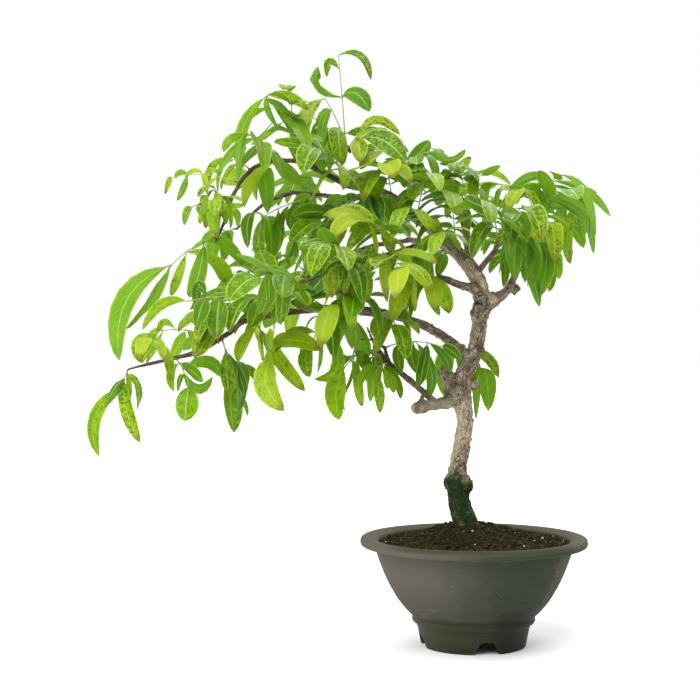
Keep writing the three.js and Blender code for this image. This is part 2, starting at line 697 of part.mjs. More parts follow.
// A stalk is a thin three-sided bar with one edge on top. It has a short stretch for each pair of
// leaflets, and each leaflet grows out of one facet there.
class Stalk {
  constructor(leaf, shift) {
    const foot = nearestOnBranch(leaf.on, leaf.from);
    const end = seen(...leaf.to).add(shift);
    const middle = foot.clone().lerp(end, 0.5);
    middle.z += STALK_ARCH * foot.distanceTo(end);
    this.curve = new THREE.QuadraticBezierCurve3(foot, middle, end);
    this.length = this.curve.getLength();
    this.pairs = leaf.pairs;
    this.heading = end.clone().sub(foot).setZ(0);
    if (this.heading.length() < 8) {
      this.heading.add(new THREE.Vector3(10, -4, 0));
    }
    this.heading.normalize();
    if (leaf.turn !== undefined) {
      this.heading.set(1, 0, 0).applyAxisAngle(UP, THREE.MathUtils.degToRad(leaf.turn));
    }
    this.sideways = new THREE.Vector3().crossVectors(this.heading, leaningUp(middle)).normalize();
    this.upper = new THREE.Vector3().crossVectors(this.sideways, this.heading);
    this.start = 0;
  }

  ring(t) {
    const along = this.curve.getTangent(t);
    const top = new THREE.Vector3().crossVectors(this.sideways, along).normalize();
    const across = new THREE.Vector3().crossVectors(along, top);
    const radius = STALK_RADIUS * THREE.MathUtils.lerp(STALK_TAPER.foot, STALK_TAPER.tip, t);
    return [0, 1, 2].map((i) => this.curve.getPoint(t)
      .addScaledVector(top, radius * Math.cos((2 * Math.PI * i) / 3))
      .addScaledVector(across, radius * Math.sin((2 * Math.PI * i) / 3)));
  }

  rings() {
    const half = STALK_STRETCH / 2 / this.length;
    const places = [this.start];
    for (let i = 0; i < this.pairs; i += 1) {
      const t = FIRST_PAIR + (LAST_PAIR - FIRST_PAIR) * (i / Math.max(this.pairs - 0.3, 1));
      places.push(t - half, t + half);
    }
    return [...places, 1].map((t) => this.ring(t));
  }

  // The stalk begins where it is just clear of the bark
  seatOn(wood) {
    let [inside, outside] = [0, FIRST_PAIR];
    for (let i = 0; i < 14; i += 1) {
      const t = (inside + outside) / 2;
      const stub = toSolid(throughRings([this.ring(t), this.ring(t + 0.04)]));
      if (isClear(stub, wood)) {
        outside = t;
      } else {
        inside = t;
      }
    }
    this.start = outside;
    this.rows = this.rings();
    this.body = obstacle(toSolid(throughRings(this.rows)));
  }

  // The facets that leaflets grow from: two for each pair, and the end
  roots() {
    const roots = [{ facet: this.rows.at(-1), side: 0, row: null, number: null }];
    for (let i = 0; i < this.pairs; i += 1) {
      const [lower, upper] = [this.rows[1 + 2 * i], this.rows[2 + 2 * i]];
      roots.push({ facet: [lower[0], lower[1], upper[1]], side: 1, row: 1 + 2 * i, number: 0 });
      roots.push({ facet: [lower[2], upper[0], upper[2]], side: -1, row: 1 + 2 * i, number: 5 });
    }
    return roots;
  }
}

// The stalk is moved a little, and then a little more, until it is clear of what grew before it
function growStalk(leaf, random, wood, others) {
  for (let tries = 0; tries < STALK_TRIES; tries += 1) {
    const stray = STALK_STRAY * tries;
    const shift = new THREE.Vector3(random() - 0.5, random() - 0.5, random() - 0.5).multiplyScalar(stray);
    const stalk = new Stalk(leaf, shift);
    stalk.seatOn(wood);
    if (isClear(stalk.body.solid, [...wood, ...others])) {
      return stalk;
    }
  }
  throw new Error(`no room for the stalk on ${leaf.on} at ${leaf.from}`);
}

// The facets of the walls through a row of rings, as three corners each
function wallFacets(rings) {
  const corners = [];
  for (let k = 0; k + 1 < rings.length; k += 1) {
    addWall(corners, rings[k], rings[k + 1]);
  }
  return Array.from({ length: corners.length / 3 }, (_, i) => corners.slice(3 * i, 3 * i + 3));
}

// Whether an edge of the facet runs through the other one. Where they share that edge's end, they only
// touch.
function pierces(facet, other) {
  const ray = new THREE.Ray();
  const meeting = new THREE.Vector3();
  return facet.some((from, i) => {
    const to = facet[(i + 1) % 3];
    if (other.includes(from) || other.includes(to)) {
      return false;
    }
    ray.origin.copy(from);
    ray.direction.subVectors(to, from).normalize();
    return ray.intersectTriangle(...other, false, meeting) !== null
      && meeting.distanceTo(from) < from.distanceTo(to);
  });
}

function wallsCross(facets, others) {
  return facets.some((a) => others.some((b) => a !== b && (pierces(a, b) || pierces(b, a))));
}

// One leaflet, as the rings after its root: narrow at both ends, folded up along its midrib, and bent
// down towards its tip. The root's corners can lead to a ring's in three ways.
function waysThroughLeaflet({ root, out, upper, length, slim, hang, roll }) {
  const base = new THREE.Vector3();
  root.forEach((corner) => base.addScaledVector(corner, 1 / 3));
  const towards = out.clone().multiplyScalar(Math.cos(hang)).addScaledVector(UP, -Math.sin(hang));
  const tip = base.clone().addScaledVector(towards.normalize(), LEAFLET_REACH * length);
  const shoulder = base.clone().addScaledVector(out, LEAFLET_SHOULDER * length);
  const midrib = new THREE.QuadraticBezierCurve3(base, shoulder, tip);
  const across = new THREE.Vector3().crossVectors(out, upper).normalize();
  const rings = LEAFLET_STATIONS.map(([t, fullness]) => {
    const along = midrib.getTangent(t);
    const side = across.clone().addScaledVector(along, -across.dot(along)).normalize();
    side.applyAxisAngle(along, roll);
    const top = new THREE.Vector3().crossVectors(side, along);
    const width = LEAFLET_WIDTH * slim * length * fullness;
    const middle = midrib.getPoint(t);
    const edgeMiddle = middle.clone().addScaledVector(top, LEAFLET_FOLD * width);
    return [
      middle,
      edgeMiddle.clone().addScaledVector(side, -width / 2),
      edgeMiddle.clone().addScaledVector(side, width / 2),
    ];
  });
  return [0, 1, 2].map((turn) => {
    const matched = rings.map((ring) => [0, 1, 2].map((i) => ring[(i + turn) % 3]));
    return [root, ...matched, [tip, tip, tip]];
  });
}

// Each leaflet is turned a little, and then a little more, until it has room. One that finds none
// is left out, as a shaded leaflet drops.
function growLeaflets(leaf, stalk, random, others) {
  const grown = [];
  const leafFacets = wallFacets(stalk.rows);
  for (const { facet, side, row, number } of stalk.roots()) {
    const share = row === null ? 1 : row / stalk.rows.length;
    const fullLength = side === 0 ? (leaf.end ?? leaf.length * END_LEAFLET)
      : leaf.length * (0.95 + 0.2 * Math.sin(Math.PI * share));
    for (let tries = 0; tries < LEAFLET_TRIES; tries += 1) {
      const stray = (side === 0 ? STRAY.end : STRAY.pair) + STRAY.more * tries;
      const forward = side === 0 ? 1
        : THREE.MathUtils.lerp(LEAFLET_FORWARD.foot, LEAFLET_FORWARD.tip, share);
      const out = stalk.sideways.clone().multiplyScalar(side)
        .addScaledVector(stalk.heading, forward)
        .addScaledVector(stalk.upper, LEAFLET_RISE + 0.4 * (random() - 0.5) * stray)
        .applyAxisAngle(stalk.upper, (random() - 0.5) * stray);
      const ways = waysThroughLeaflet({
        root: facet,
        out: out.normalize(),
        upper: stalk.upper,
        length: fullLength * (1 - (0.14 + 0.008 * tries) * random()),
        slim: side === 0 ? (leaf.slim ?? 1) : 1,
        hang: THREE.MathUtils.degToRad(leaf.hang) + (random() - 0.5) * stray,
        roll: (random() - 0.5) * stray * 1.2,
      });
      const rings = ways.find((way) => {
        const facets = wallFacets(way);
        return !wallsCross(facets, [...facets, ...leafFacets]);
      });
      const solid = rings && toSolid(throughRings(rings));
      if (solid && isClear(solid, others)) {
        grown.push({ ...obstacle(solid), rings, row, number });
        leafFacets.push(...wallFacets(rings));
        break;
      }
    }
  }
  return grown;
}

// The stalk's wall, open at each facet that a leaflet grows from, and the leaflets' walls
function joinLeaf(stalk, leaflets) {
  const corners = [];
  addCap(corners, [...stalk.rows[0]].reverse());
  for (let k = 0; k + 1 < stalk.rows.length; k += 1) {
    const open = leaflets.filter((leaflet) => leaflet.row === k).map((leaflet) => leaflet.number);
    addWall(corners, stalk.rows[k], stalk.rows[k + 1], open);
  }
  if (!leaflets.some((leaflet) => leaflet.row === null)) {
    addCap(corners, stalk.rows.at(-1));
  }
  for (const { rings } of leaflets) {
    for (let k = 0; k + 1 < rings.length; k += 1) {
      addWall(corners, rings[k], rings[k + 1]);
    }
  }
  return toSolid(new THREE.BufferGeometry().setFromPoints(corners));
}

function makeLeaves(woodSolids) {
  const random = numbersFrom(11);
  const wood = woodSolids.map(obstacle);
  const stalks = [];
  for (const leaf of LEAVES) {
    stalks.push(growStalk(leaf, random, wood, stalks.map((stalk) => stalk.body)));
  }
  const placed = [];
  return LEAVES.map((leaf, i) => {
    const otherStalks = stalks.filter((stalk) => stalk !== stalks[i]).map((stalk) => stalk.body);
    const leaflets = growLeaflets(leaf, stalks[i], random, [...wood, ...otherStalks, ...placed]);
    placed.push(...leaflets);
    return joinLeaf(stalks[i], leaflets);
  });
}

// The whole object

const CLAY = new THREE.MeshStandardMaterial({ color: 0x4c4b42, roughness: 0.8 });
const PLASTIC = new THREE.MeshStandardMaterial({ color: 0x1f2321, roughness: 0.6 });
const WIRE = new THREE.MeshStandardMaterial({ color: 0x8a6a50, roughness: 0.4, metalness: 0.9 });
const EARTH = new THREE.MeshStandardMaterial({ color: 0x35291b, roughness: 1 });
const BARK = new THREE.MeshStandardMaterial({ color: 0x86725f, roughness: 0.9 });
const FOLIAGE = new THREE.MeshStandardMaterial({ color: 0x5c9a17, roughness: 0.5 });

const aboveSoil = [...woodBars(0), ...woodKnots(0)];
const wood = join([...aboveSoil, ...woodRoots(0)]).asOriginal().simplify(0.12);
const soilOpening = join([...woodBars(GAP), ...woodRoots(GAP)]);

const tree = new THREE.Group();

function addPiece(name, solid, material) {
  const mesh = new THREE.Mesh(toGeometry(solid), material);
  mesh.name = name;
  tree.add(mesh);
}

addPiece('pot', makePot(), CLAY);
addPiece('drainage_mesh', makeDrainageMesh(), PLASTIC);
addPiece('mesh_wire', makeMeshWire(), WIRE);
addPiece('soil', largestPiece(makeSoil(soilOpening)), EARTH);
addPiece('trunk_and_branches', largestPiece(wood), BARK);
makeLeaves(aboveSoil).forEach((leaf, i) => {
  addPiece(`leaf_${String(i + 1).padStart(2, '0')}`, leaf, FOLIAGE);
});

// The origin is on the ground, under the middle of the whole object's box
const around = new THREE.Box3().setFromObject(tree);
tree.position.set(-(around.min.x + around.max.x) / 2, -(around.min.y + around.max.y) / 2, -around.min.z);

export default tree;
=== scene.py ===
# %% [markdown]
# A wisteria bonsai, dressed for its picture. The solid model gives every piece its place and size: pot,
# soil, wood, the plastic mesh with its wire, and 55 compound leaves. This lesson builds the surfaces that
# an eye would want to see around those solids. It starts by loading them as a fixed frame.

import heapq
import json
import math

import bpy
import numpy as np
from mathutils import Matrix, Vector, noise
from mathutils.bvhtree import BVHTree

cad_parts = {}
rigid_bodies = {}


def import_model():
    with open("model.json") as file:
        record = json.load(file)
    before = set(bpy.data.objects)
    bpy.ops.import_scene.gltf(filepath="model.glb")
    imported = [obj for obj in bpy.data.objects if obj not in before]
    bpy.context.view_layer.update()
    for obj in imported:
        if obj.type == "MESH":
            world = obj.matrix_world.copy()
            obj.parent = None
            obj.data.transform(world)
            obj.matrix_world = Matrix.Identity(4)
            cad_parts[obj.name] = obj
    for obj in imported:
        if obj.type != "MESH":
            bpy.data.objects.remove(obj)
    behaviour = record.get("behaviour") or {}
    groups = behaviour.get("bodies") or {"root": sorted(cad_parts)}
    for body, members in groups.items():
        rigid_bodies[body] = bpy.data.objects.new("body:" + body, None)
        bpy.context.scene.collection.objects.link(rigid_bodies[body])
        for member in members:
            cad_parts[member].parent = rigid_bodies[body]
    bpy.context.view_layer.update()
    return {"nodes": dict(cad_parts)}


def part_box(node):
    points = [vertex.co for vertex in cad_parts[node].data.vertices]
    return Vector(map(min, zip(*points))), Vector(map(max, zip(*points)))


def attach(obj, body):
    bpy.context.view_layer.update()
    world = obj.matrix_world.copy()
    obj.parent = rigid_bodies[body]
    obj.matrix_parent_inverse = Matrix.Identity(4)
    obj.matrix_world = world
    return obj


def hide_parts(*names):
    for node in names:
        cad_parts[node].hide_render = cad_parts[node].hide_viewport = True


for leftover in list(bpy.data.objects):
    bpy.data.objects.remove(leftover)
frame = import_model()

MM = 0.001
leaf_nodes = sorted(name for name in frame["nodes"] if name.startswith("leaf_"))
print("nodes", len(frame["nodes"]), "of them leaves", len(leaf_nodes))

# %% [markdown]
# The camera stands where the photographer stood: level, 1.23 m in front of the pot, a little to the left of
# it. A camera could be placed by eye, but the same spot also turns a point of the picture into a point on
# the tree, so it is written as an offset from the pot's axis.

# %% Camera
EYE = Vector((-108.6, -1233, 259.2)) * MM
FOCAL_LENGTH = 72

pot_low, pot_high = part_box("pot")
pot_axis = Vector(((pot_low.x + pot_high.x) / 2, (pot_low.y + pot_high.y) / 2, 0))
bpy.ops.object.camera_add(location=pot_axis + EYE, rotation=(math.radians(90), 0, 0))
bpy.context.scene.camera = bpy.context.object
bpy.context.object.data.lens = FOCAL_LENGTH


def seen(right, up, depth=0.0):
    """A point, in millimetres as seen on the upright plane through the pot's axis, at a depth behind it."""
    spread = 1 + depth * MM / -EYE.y
    across = EYE.x + (right * MM - EYE.x) * spread
    high = EYE.z + (up * MM - EYE.z) * spread
    return pot_axis + Vector((across, depth * MM, high))


print("pot axis", [round(x, 4) for x in pot_axis])

# %% [markdown]
# Every operator acts on what is selected, so each step first lets go of everything and then takes hold of
# one piece. Points are read and written as whole arrays, which is far quicker than one vertex at a time.

# %% Small tools for objects and their points


def take(piece):
    bpy.ops.object.select_all(action="DESELECT")
    piece.select_set(True)
    bpy.context.view_layer.objects.active = piece


def name_piece(name):
    piece = bpy.context.object
    piece.name = name
    piece.data.name = name
    return piece


def points_of(mesh):
    flat = np.empty(3 * len(mesh.vertices), dtype=np.float32)
    mesh.vertices.foreach_get("co", flat)
    return flat.reshape(-1, 3).astype(np.float64)


def put_points(mesh, points):
    mesh.vertices.foreach_set("co", np.asarray(points, dtype=np.float32).ravel())
    mesh.update()


def normals_of(mesh):
    flat = np.empty(3 * len(mesh.vertices), dtype=np.float32)
    mesh.vertex_normals.foreach_get("vector", flat)
    return flat.reshape(-1, 3).astype(np.float64)


def edges_of(mesh):
    flat = np.empty(2 * len(mesh.edges), dtype=np.int32)
    mesh.edges.foreach_get("vertices", flat)
    return flat.reshape(-1, 2)


def mark_points(mesh, name, values):
    """Keeps one number, or one vector, for each point, for a material to read."""
    values = np.asarray(values, dtype=np.float32)
    kind = "FLOAT" if values.ndim == 1 else "FLOAT_VECTOR"
    field = "value" if values.ndim == 1 else "vector"
    attribute = mesh.attributes.new(name, kind, "POINT")
    attribute.data.foreach_set(field, values.ravel())


def apply_modifier(piece, kind, **settings):
    take(piece)
    modifier = piece.modifiers.new(kind.lower(), kind)
    for name, value in settings.items():
        setattr(modifier, name, value)
    bpy.ops.object.modifier_apply(modifier=modifier.name)


def smooth(piece, sharp_over=60):
    take(piece)
    bpy.ops.object.shade_smooth_by_angle(angle=math.radians(sharp_over))


def merged_copy(node, name):
    """A copy of a solid of the frame, with its loose triangles joined at their shared corners."""
    piece = frame["nodes"][node].copy()
    piece.data = frame["nodes"][node].data.copy()
    bpy.context.scene.collection.objects.link(piece)
    piece.parent = None
    for key in list(piece.keys()):
        del piece[key]
    take(piece)
    bpy.ops.object.mode_set(mode="EDIT")
    bpy.ops.mesh.select_all(action="SELECT")
    bpy.ops.mesh.remove_doubles(threshold=1e-6)
    bpy.ops.object.mode_set(mode="OBJECT")
    return name_piece(name)


def finish_piece(piece, material, slot, *nodes):
    """Gives a piece its material and says which solids it stands for. Its slot is not used."""
    piece.data.materials.clear()
    piece.data.materials.append(material)
    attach(piece, "root")
    if nodes:
        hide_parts(*nodes)


# %% [markdown]
# Materials are node trees. Wiring nodes by hand hides the sum that they add up to, so a small class wraps
# a socket and lets Python's own signs add the nodes: mask * 0.5 + 0.1 becomes two Math nodes.

# %% A socket that can be reckoned with


class Value:
    def __init__(self, finish, socket):
        self.finish = finish
        self.socket = socket

    def math(self, operation, *others):
        return self.finish.math(operation, self, *others)

    def __add__(self, other):
        return self.math("ADD", other)

    def __sub__(self, other):
        return self.math("SUBTRACT", other)

    def __mul__(self, other):
        return self.math("MULTIPLY", other)

    def __rsub__(self, other):
        return self.finish.math("SUBTRACT", other, self)

    def __abs__(self):
        return self.math("ABSOLUTE")

    __radd__ = __add__
    __rmul__ = __mul__

    def ramp(self, low, high):
        """0 below low, 1 above high, and a soft step between them. It falls where high is the smaller."""
        made = self.finish.node(
            "ShaderNodeMapRange",
            {"interpolation_type": "SMOOTHSTEP"},
            {"Value": self, "From Min": low, "From Max": high},
        )
        return Value(self.finish, made.outputs["Result"])


# %% [markdown]
# The second class is one material. Its node method takes a node's type, its settings and what goes into
# its sockets. The other methods are the few kinds of node that this tree's finishes need.

# %% A material with few, plain ways to grow


class Finish:
    def __init__(self, name):
        self.material = bpy.data.materials.new(name)
        self.material.use_nodes = True
        self.tree = self.material.node_tree
        self.tree.nodes.clear()

    def node(self, kind, settings=None, sockets=None):
        made = self.tree.nodes.new(kind)
        for name, value in (settings or {}).items():
            setattr(made, name, value)
        for name, value in (sockets or {}).items():
            if isinstance(value, Value):
                self.tree.links.new(value.socket, made.inputs[name])
            else:
                made.inputs[name].default_value = value
        return made

    def math(self, operation, *values):
        made = self.node("ShaderNodeMath", {"operation": operation}, dict(enumerate(values)))
        return Value(self, made.outputs[0])

    def places(self):
        return Value(self, self.node("ShaderNodeTexCoord").outputs["Object"])

    def attribute(self, name, output="Vector"):
        made = self.node("ShaderNodeAttribute", {"attribute_name": name})
        return Value(self, made.outputs[output])

    def parts(self, vector):
        made = self.node("ShaderNodeSeparateXYZ", None, {0: vector})
        return [Value(self, output) for output in made.outputs]

    def stretched(self, vector, scale):
        made = self.node("ShaderNodeMapping", None, {"Vector": vector, "Scale": scale})
        return Value(self, made.outputs[0])

    def noise(self, vector, scale, detail=3.0, roughness=0.55, distortion=0.0):
        sockets = {
            "Vector": vector,
            "Scale": scale,
            "Detail": detail,
            "Roughness": roughness,
            "Distortion": distortion,
        }
        return Value(self, self.node("ShaderNodeTexNoise", None, sockets).outputs[0])

    def cells(self, vector, scale, output="Distance"):
        made = self.node("ShaderNodeTexVoronoi", {"feature": "F1"}, {"Vector": vector, "Scale": scale})
        return Value(self, made.outputs[output])

    def mix(self, below, above, share):
        """Two colours, the second laid over the first where share is 1."""
        made = self.node("ShaderNodeMix", {"data_type": "RGBA"}, {0: share, 6: below, 7: above})
        return Value(self, made.outputs[2])

    def bump(self, height, distance, strength):
        sockets = {"Height": height, "Distance": distance, "Strength": strength}
        return Value(self, self.node("ShaderNodeBump", None, sockets).outputs[0])

    def surface(self, **looks):
        sockets = {name.replace("_", " ").title(): value for name, value in looks.items()}
        if "Specular" in sockets:
            sockets["Specular IOR Level"] = sockets.pop("Specular")
        return Value(self, self.node("ShaderNodeBsdfPrincipled", None, sockets).outputs[0])

    def done(self, shader):
        self.node("ShaderNodeOutputMaterial", None, {"Surface": shader})
        return self.material


def colour(red, green, blue):
    """A colour as a paint chart gives it, 0 to 255, as the light values that a shader works with."""
    shares = [x / 255 for x in (red, green, blue)]
    light = [x / 12.92 if x <= 0.04045 else ((x + 0.055) / 1.055) ** 2.4 for x in shares]
    return (*light, 1.0)


# %% [markdown]
# The pot is thrown clay: a round profile turned on a wheel. It could be a lofted stack of circles, but
# one outline spun round the axis is how the real one is made, and it keeps the lip and the moulding crisp.
# The long wall is drawn with many small steps, because a potter's fingers leave shallow rings in it. At the
# moulding and just under the lip it follows the picture, up to 2 mm slimmer than the solid model.

# %% The pot's outline
RIM_RADIUS = 100 * MM
NECK_RADIUS = 87.4 * MM
POT_HEIGHT = 95.4 * MM
LIP_BOTTOM = 87.3 * MM
MOUTH_RADIUS = 84 * MM
FOOT_RADIUS = 46 * MM
FOOT_WALL = 8 * MM
FOOT_TOP = 15.5 * MM
MOULDING_RADIUS = 54.2 * MM
MOULDING_TOP = 27 * MM
FLOOR_UNDERSIDE = 12 * MM
FLOOR_TOP = 21 * MM
FLOOR_RADIUS = 44 * MM
DRAIN_RADIUS = 12 * MM
THROWING_RING = 0.16 * MM


def bend(start, control, end, steps):
    """Points along a curve that leaves start towards control and comes into end from it."""
    shares = [i / steps for i in range(1, steps + 1)]
    return [
        tuple((1 - t) ** 2 * a + 2 * t * (1 - t) * b + t * t * c for a, b, c in zip(start, control, end))
        for t in shares
    ]


def pot_outline():
    moulding = (MOULDING_RADIUS, MOULDING_TOP)
    neck = (NECK_RADIUS, LIP_BOTTOM - 0.6 * MM)
    line = [(FOOT_RADIUS - 1 * MM, 0), (FOOT_RADIUS, 1 * MM), (FOOT_RADIUS + 2.6 * MM, FOOT_TOP - 2 * MM)]
    line += bend(line[-1], (FOOT_RADIUS + 3.4 * MM, FOOT_TOP + 2.6 * MM),
                 (MOULDING_RADIUS - 3 * MM, FOOT_TOP + 4.6 * MM), 5)
    line += bend(line[-1], (MOULDING_RADIUS + 0.8 * MM, FOOT_TOP + 6 * MM),
                 (MOULDING_RADIUS - 0.2 * MM, MOULDING_TOP - 2 * MM), 5)
    line += bend(line[-1], (MOULDING_RADIUS - 0.9 * MM, MOULDING_TOP - 0.8 * MM), moulding, 2)
    wall = bend(moulding, (74.5 * MM, 44 * MM), neck, 44)
    for i, (radius, height) in enumerate(wall):
        fade = min(1.0, i / 4, (len(wall) - 1 - i) / 4)
        ring = noise.noise((0, 0, height * 300)) + 0.6 * noise.noise((5, 0, height * 800))
        line.append((radius + fade * THROWING_RING * ring, height))
    line += [(NECK_RADIUS + 1.5 * MM, LIP_BOTTOM - 0.1 * MM), (RIM_RADIUS - 4 * MM, LIP_BOTTOM)]
    line += bend(line[-1], (RIM_RADIUS, LIP_BOTTOM), (RIM_RADIUS, LIP_BOTTOM + 3.6 * MM), 5)
    line += bend(line[-1], (RIM_RADIUS, POT_HEIGHT), (RIM_RADIUS - 4.2 * MM, POT_HEIGHT), 6)
    line += bend(line[-1], (RIM_RADIUS - 9 * MM, POT_HEIGHT),
                 (MOUTH_RADIUS + 2 * MM, POT_HEIGHT - 2.4 * MM), 4)
    line += bend(line[-1], (MOUTH_RADIUS, POT_HEIGHT - 2.8 * MM),
                 (MOUTH_RADIUS - 0.6 * MM, POT_HEIGHT - 6 * MM), 4)
    line += bend(line[-1], (72 * MM, 62 * MM), (67 * MM, 52 * MM), 8)
    line += bend(line[-1], (58 * MM, 36 * MM), (51 * MM, FLOOR_TOP + 5 * MM), 6)
    line += bend(line[-1], (49 * MM, FLOOR_TOP), (FLOOR_RADIUS, FLOOR_TOP), 4)
    line += [(DRAIN_RADIUS + 0.8 * MM, FLOOR_TOP), (DRAIN_RADIUS, FLOOR_TOP - 0.8 * MM)]
    line += [(DRAIN_RADIUS, FLOOR_UNDERSIDE + 0.8 * MM), (DRAIN_RADIUS + 0.8 * MM, FLOOR_UNDERSIDE)]
    line += [(FOOT_RADIUS - FOOT_WALL, FLOOR_UNDERSIDE), (FOOT_RADIUS - FOOT_WALL, 1 * MM)]
    line += [(FOOT_RADIUS - FOOT_WALL + 1 * MM, 0), (FOOT_RADIUS - 1 * MM, 0)]
    return line


outline = pot_outline()
print("outline points", len(outline), "height", max(z for _, z in outline))

# %% [markdown]
# The outline is drawn by pulling one point from place to place, and then spun. Where the spin ends it meets
# its start, so the doubled points are merged and the faces turned outwards.

# %% Throw the pot
WHEEL_STEPS = 160


def draw_line(name, places):
    """A chain of points, extruded one after the other."""
    bpy.ops.object.select_all(action="DESELECT")
    bpy.ops.mesh.primitive_plane_add(size=1 * MM, location=places[0])
    piece = name_piece(name)
    bpy.ops.object.mode_set(mode="EDIT")
    bpy.ops.mesh.merge(type="CENTER")
    for here, there in zip(places, places[1:]):
        step = [b - a for a, b in zip(here, there)]
        bpy.ops.mesh.extrude_region_move(TRANSFORM_OT_translate={"value": step})
    bpy.ops.object.mode_set(mode="OBJECT")
    bpy.ops.object.transform_apply(location=True)
    return piece


pot = draw_line("clay_pot", [(pot_axis.x + r, pot_axis.y, z) for r, z in outline])
bpy.ops.object.mode_set(mode="EDIT")
bpy.ops.mesh.select_all(action="SELECT")
bpy.ops.mesh.spin(steps=WHEEL_STEPS, angle=2 * math.pi, center=pot_axis, axis=(0, 0, 1))
bpy.ops.mesh.select_all(action="SELECT")
bpy.ops.mesh.remove_doubles(threshold=0.02 * MM)
bpy.ops.mesh.normals_make_consistent(inside=False)
bpy.ops.object.mode_set(mode="OBJECT")
print("pot faces", len(pot.data.polygons))

# %% [markdown]
# Four arched notches in the foot let water run out. Each is cut by a block in the notch's shape: a cube
# whose upper edge is drawn in and rounded. The cut is a boolean, as a wire would cut the damp clay. The
# notches follow the picture: they are about 2 mm wider than in the solid model and turned 3 degrees from
# its own. The clay then sags a little in drying, so the last step moves the wall by a fraction of a
# millimetre.

# %% Cut the notches
NOTCH_COUNT = 4
NOTCH_FIRST = 9.5
NOTCH_WIDTH = 25.5 * MM
NOTCH_TOP_WIDTH = 11.5 * MM
NOTCH_HEIGHT = 11 * MM
NOTCH_ROUNDING = 3.4 * MM
WALL_WOBBLE = 0.35 * MM


def notch_cutter(angle):
    bpy.ops.object.select_all(action="DESELECT")
    reach = FOOT_RADIUS - FOOT_WALL / 2
    place = (reach * math.sin(angle), -reach * math.cos(angle), NOTCH_HEIGHT / 2 - 1 * MM)
    bpy.ops.mesh.primitive_cube_add(size=1, location=Vector((pot_axis.x, pot_axis.y, 0)) + Vector(place))
    cutter = name_piece("notch_cutter")
    cutter.scale = (NOTCH_WIDTH, 3 * FOOT_WALL, NOTCH_HEIGHT + 2 * MM)
    cutter.rotation_euler = (0, 0, angle)
    bpy.ops.object.transform_apply(location=False, rotation=False, scale=True)
    points = points_of(cutter.data)
    top = points[:, 2] > 0
    points[top, 0] *= NOTCH_TOP_WIDTH / NOTCH_WIDTH
    put_points(cutter.data, points)
    bpy.ops.object.mode_set(mode="EDIT")
    bpy.ops.mesh.select_all(action="DESELECT")
    bpy.ops.object.mode_set(mode="OBJECT")
    for edge in cutter.data.edges:
        ends = [points[v] for v in edge.vertices]
        runs_deep = abs(ends[0][1] - ends[1][1]) > FOOT_WALL
        edge.select = bool(runs_deep and all(end[2] > 0 for end in ends))
    bpy.ops.object.mode_set(mode="EDIT")
    bpy.ops.mesh.bevel(offset=NOTCH_ROUNDING, segments=5)
    bpy.ops.object.mode_set(mode="OBJECT")
    bpy.ops.object.transform_apply(location=True, rotation=True)
    return cutter


for i in range(NOTCH_COUNT):
    cutter = notch_cutter(math.radians(NOTCH_FIRST + 360 / NOTCH_COUNT * i))
    apply_modifier(pot, "BOOLEAN", operation="DIFFERENCE", object=cutter, solver="EXACT")
    bpy.data.objects.remove(cutter)

wall = points_of(pot.data)
offset = wall - np.array(pot_axis)
angles = np.arctan2(offset[:, 1], offset[:, 0])
share = np.clip(offset[:, 2] / POT_HEIGHT, 0, 1)
wobble = WALL_WOBBLE * share * (np.sin(2 * angles + 0.7) + 0.5 * np.sin(3 * angles + 2 * share)) / 1.5
radius = np.hypot(offset[:, 0], offset[:, 1])
wall[:, :2] += offset[:, :2] * ((wobble - WALL_WOBBLE) * share / np.maximum(radius, MM))[:, None]
put_points(pot.data, wall)
smooth(pot, 38)
print("pot faces with notches", len(pot.data.polygons))

# %% [markdown]
# The clay is dry and grey above, painted paler on the left as painted light, and painted darker and olive
# on the right, towards the bottom and on the front of the lip as painted shade. Below it is wet, where a
# dark stain ends in a ragged border, and the wet clay is painted lighter on the left too. The stain could
# be painted, but a border that follows height plus noise stays sharp at any distance and runs right round
# the pot. Fine horizontal lines come from the throwing, small pits from sand in the clay.

# %% Clay
STAIN_HEIGHT = 30.5 * MM
STAIN_STEP = 9 * MM
# The edge on the right side where the painted shade ends.
RIGHT_SHADE_EDGE = math.radians(53)
NICK = (13.2 * MM, 55.5 * MM)
NICK_LENGTH = 6.5 * MM


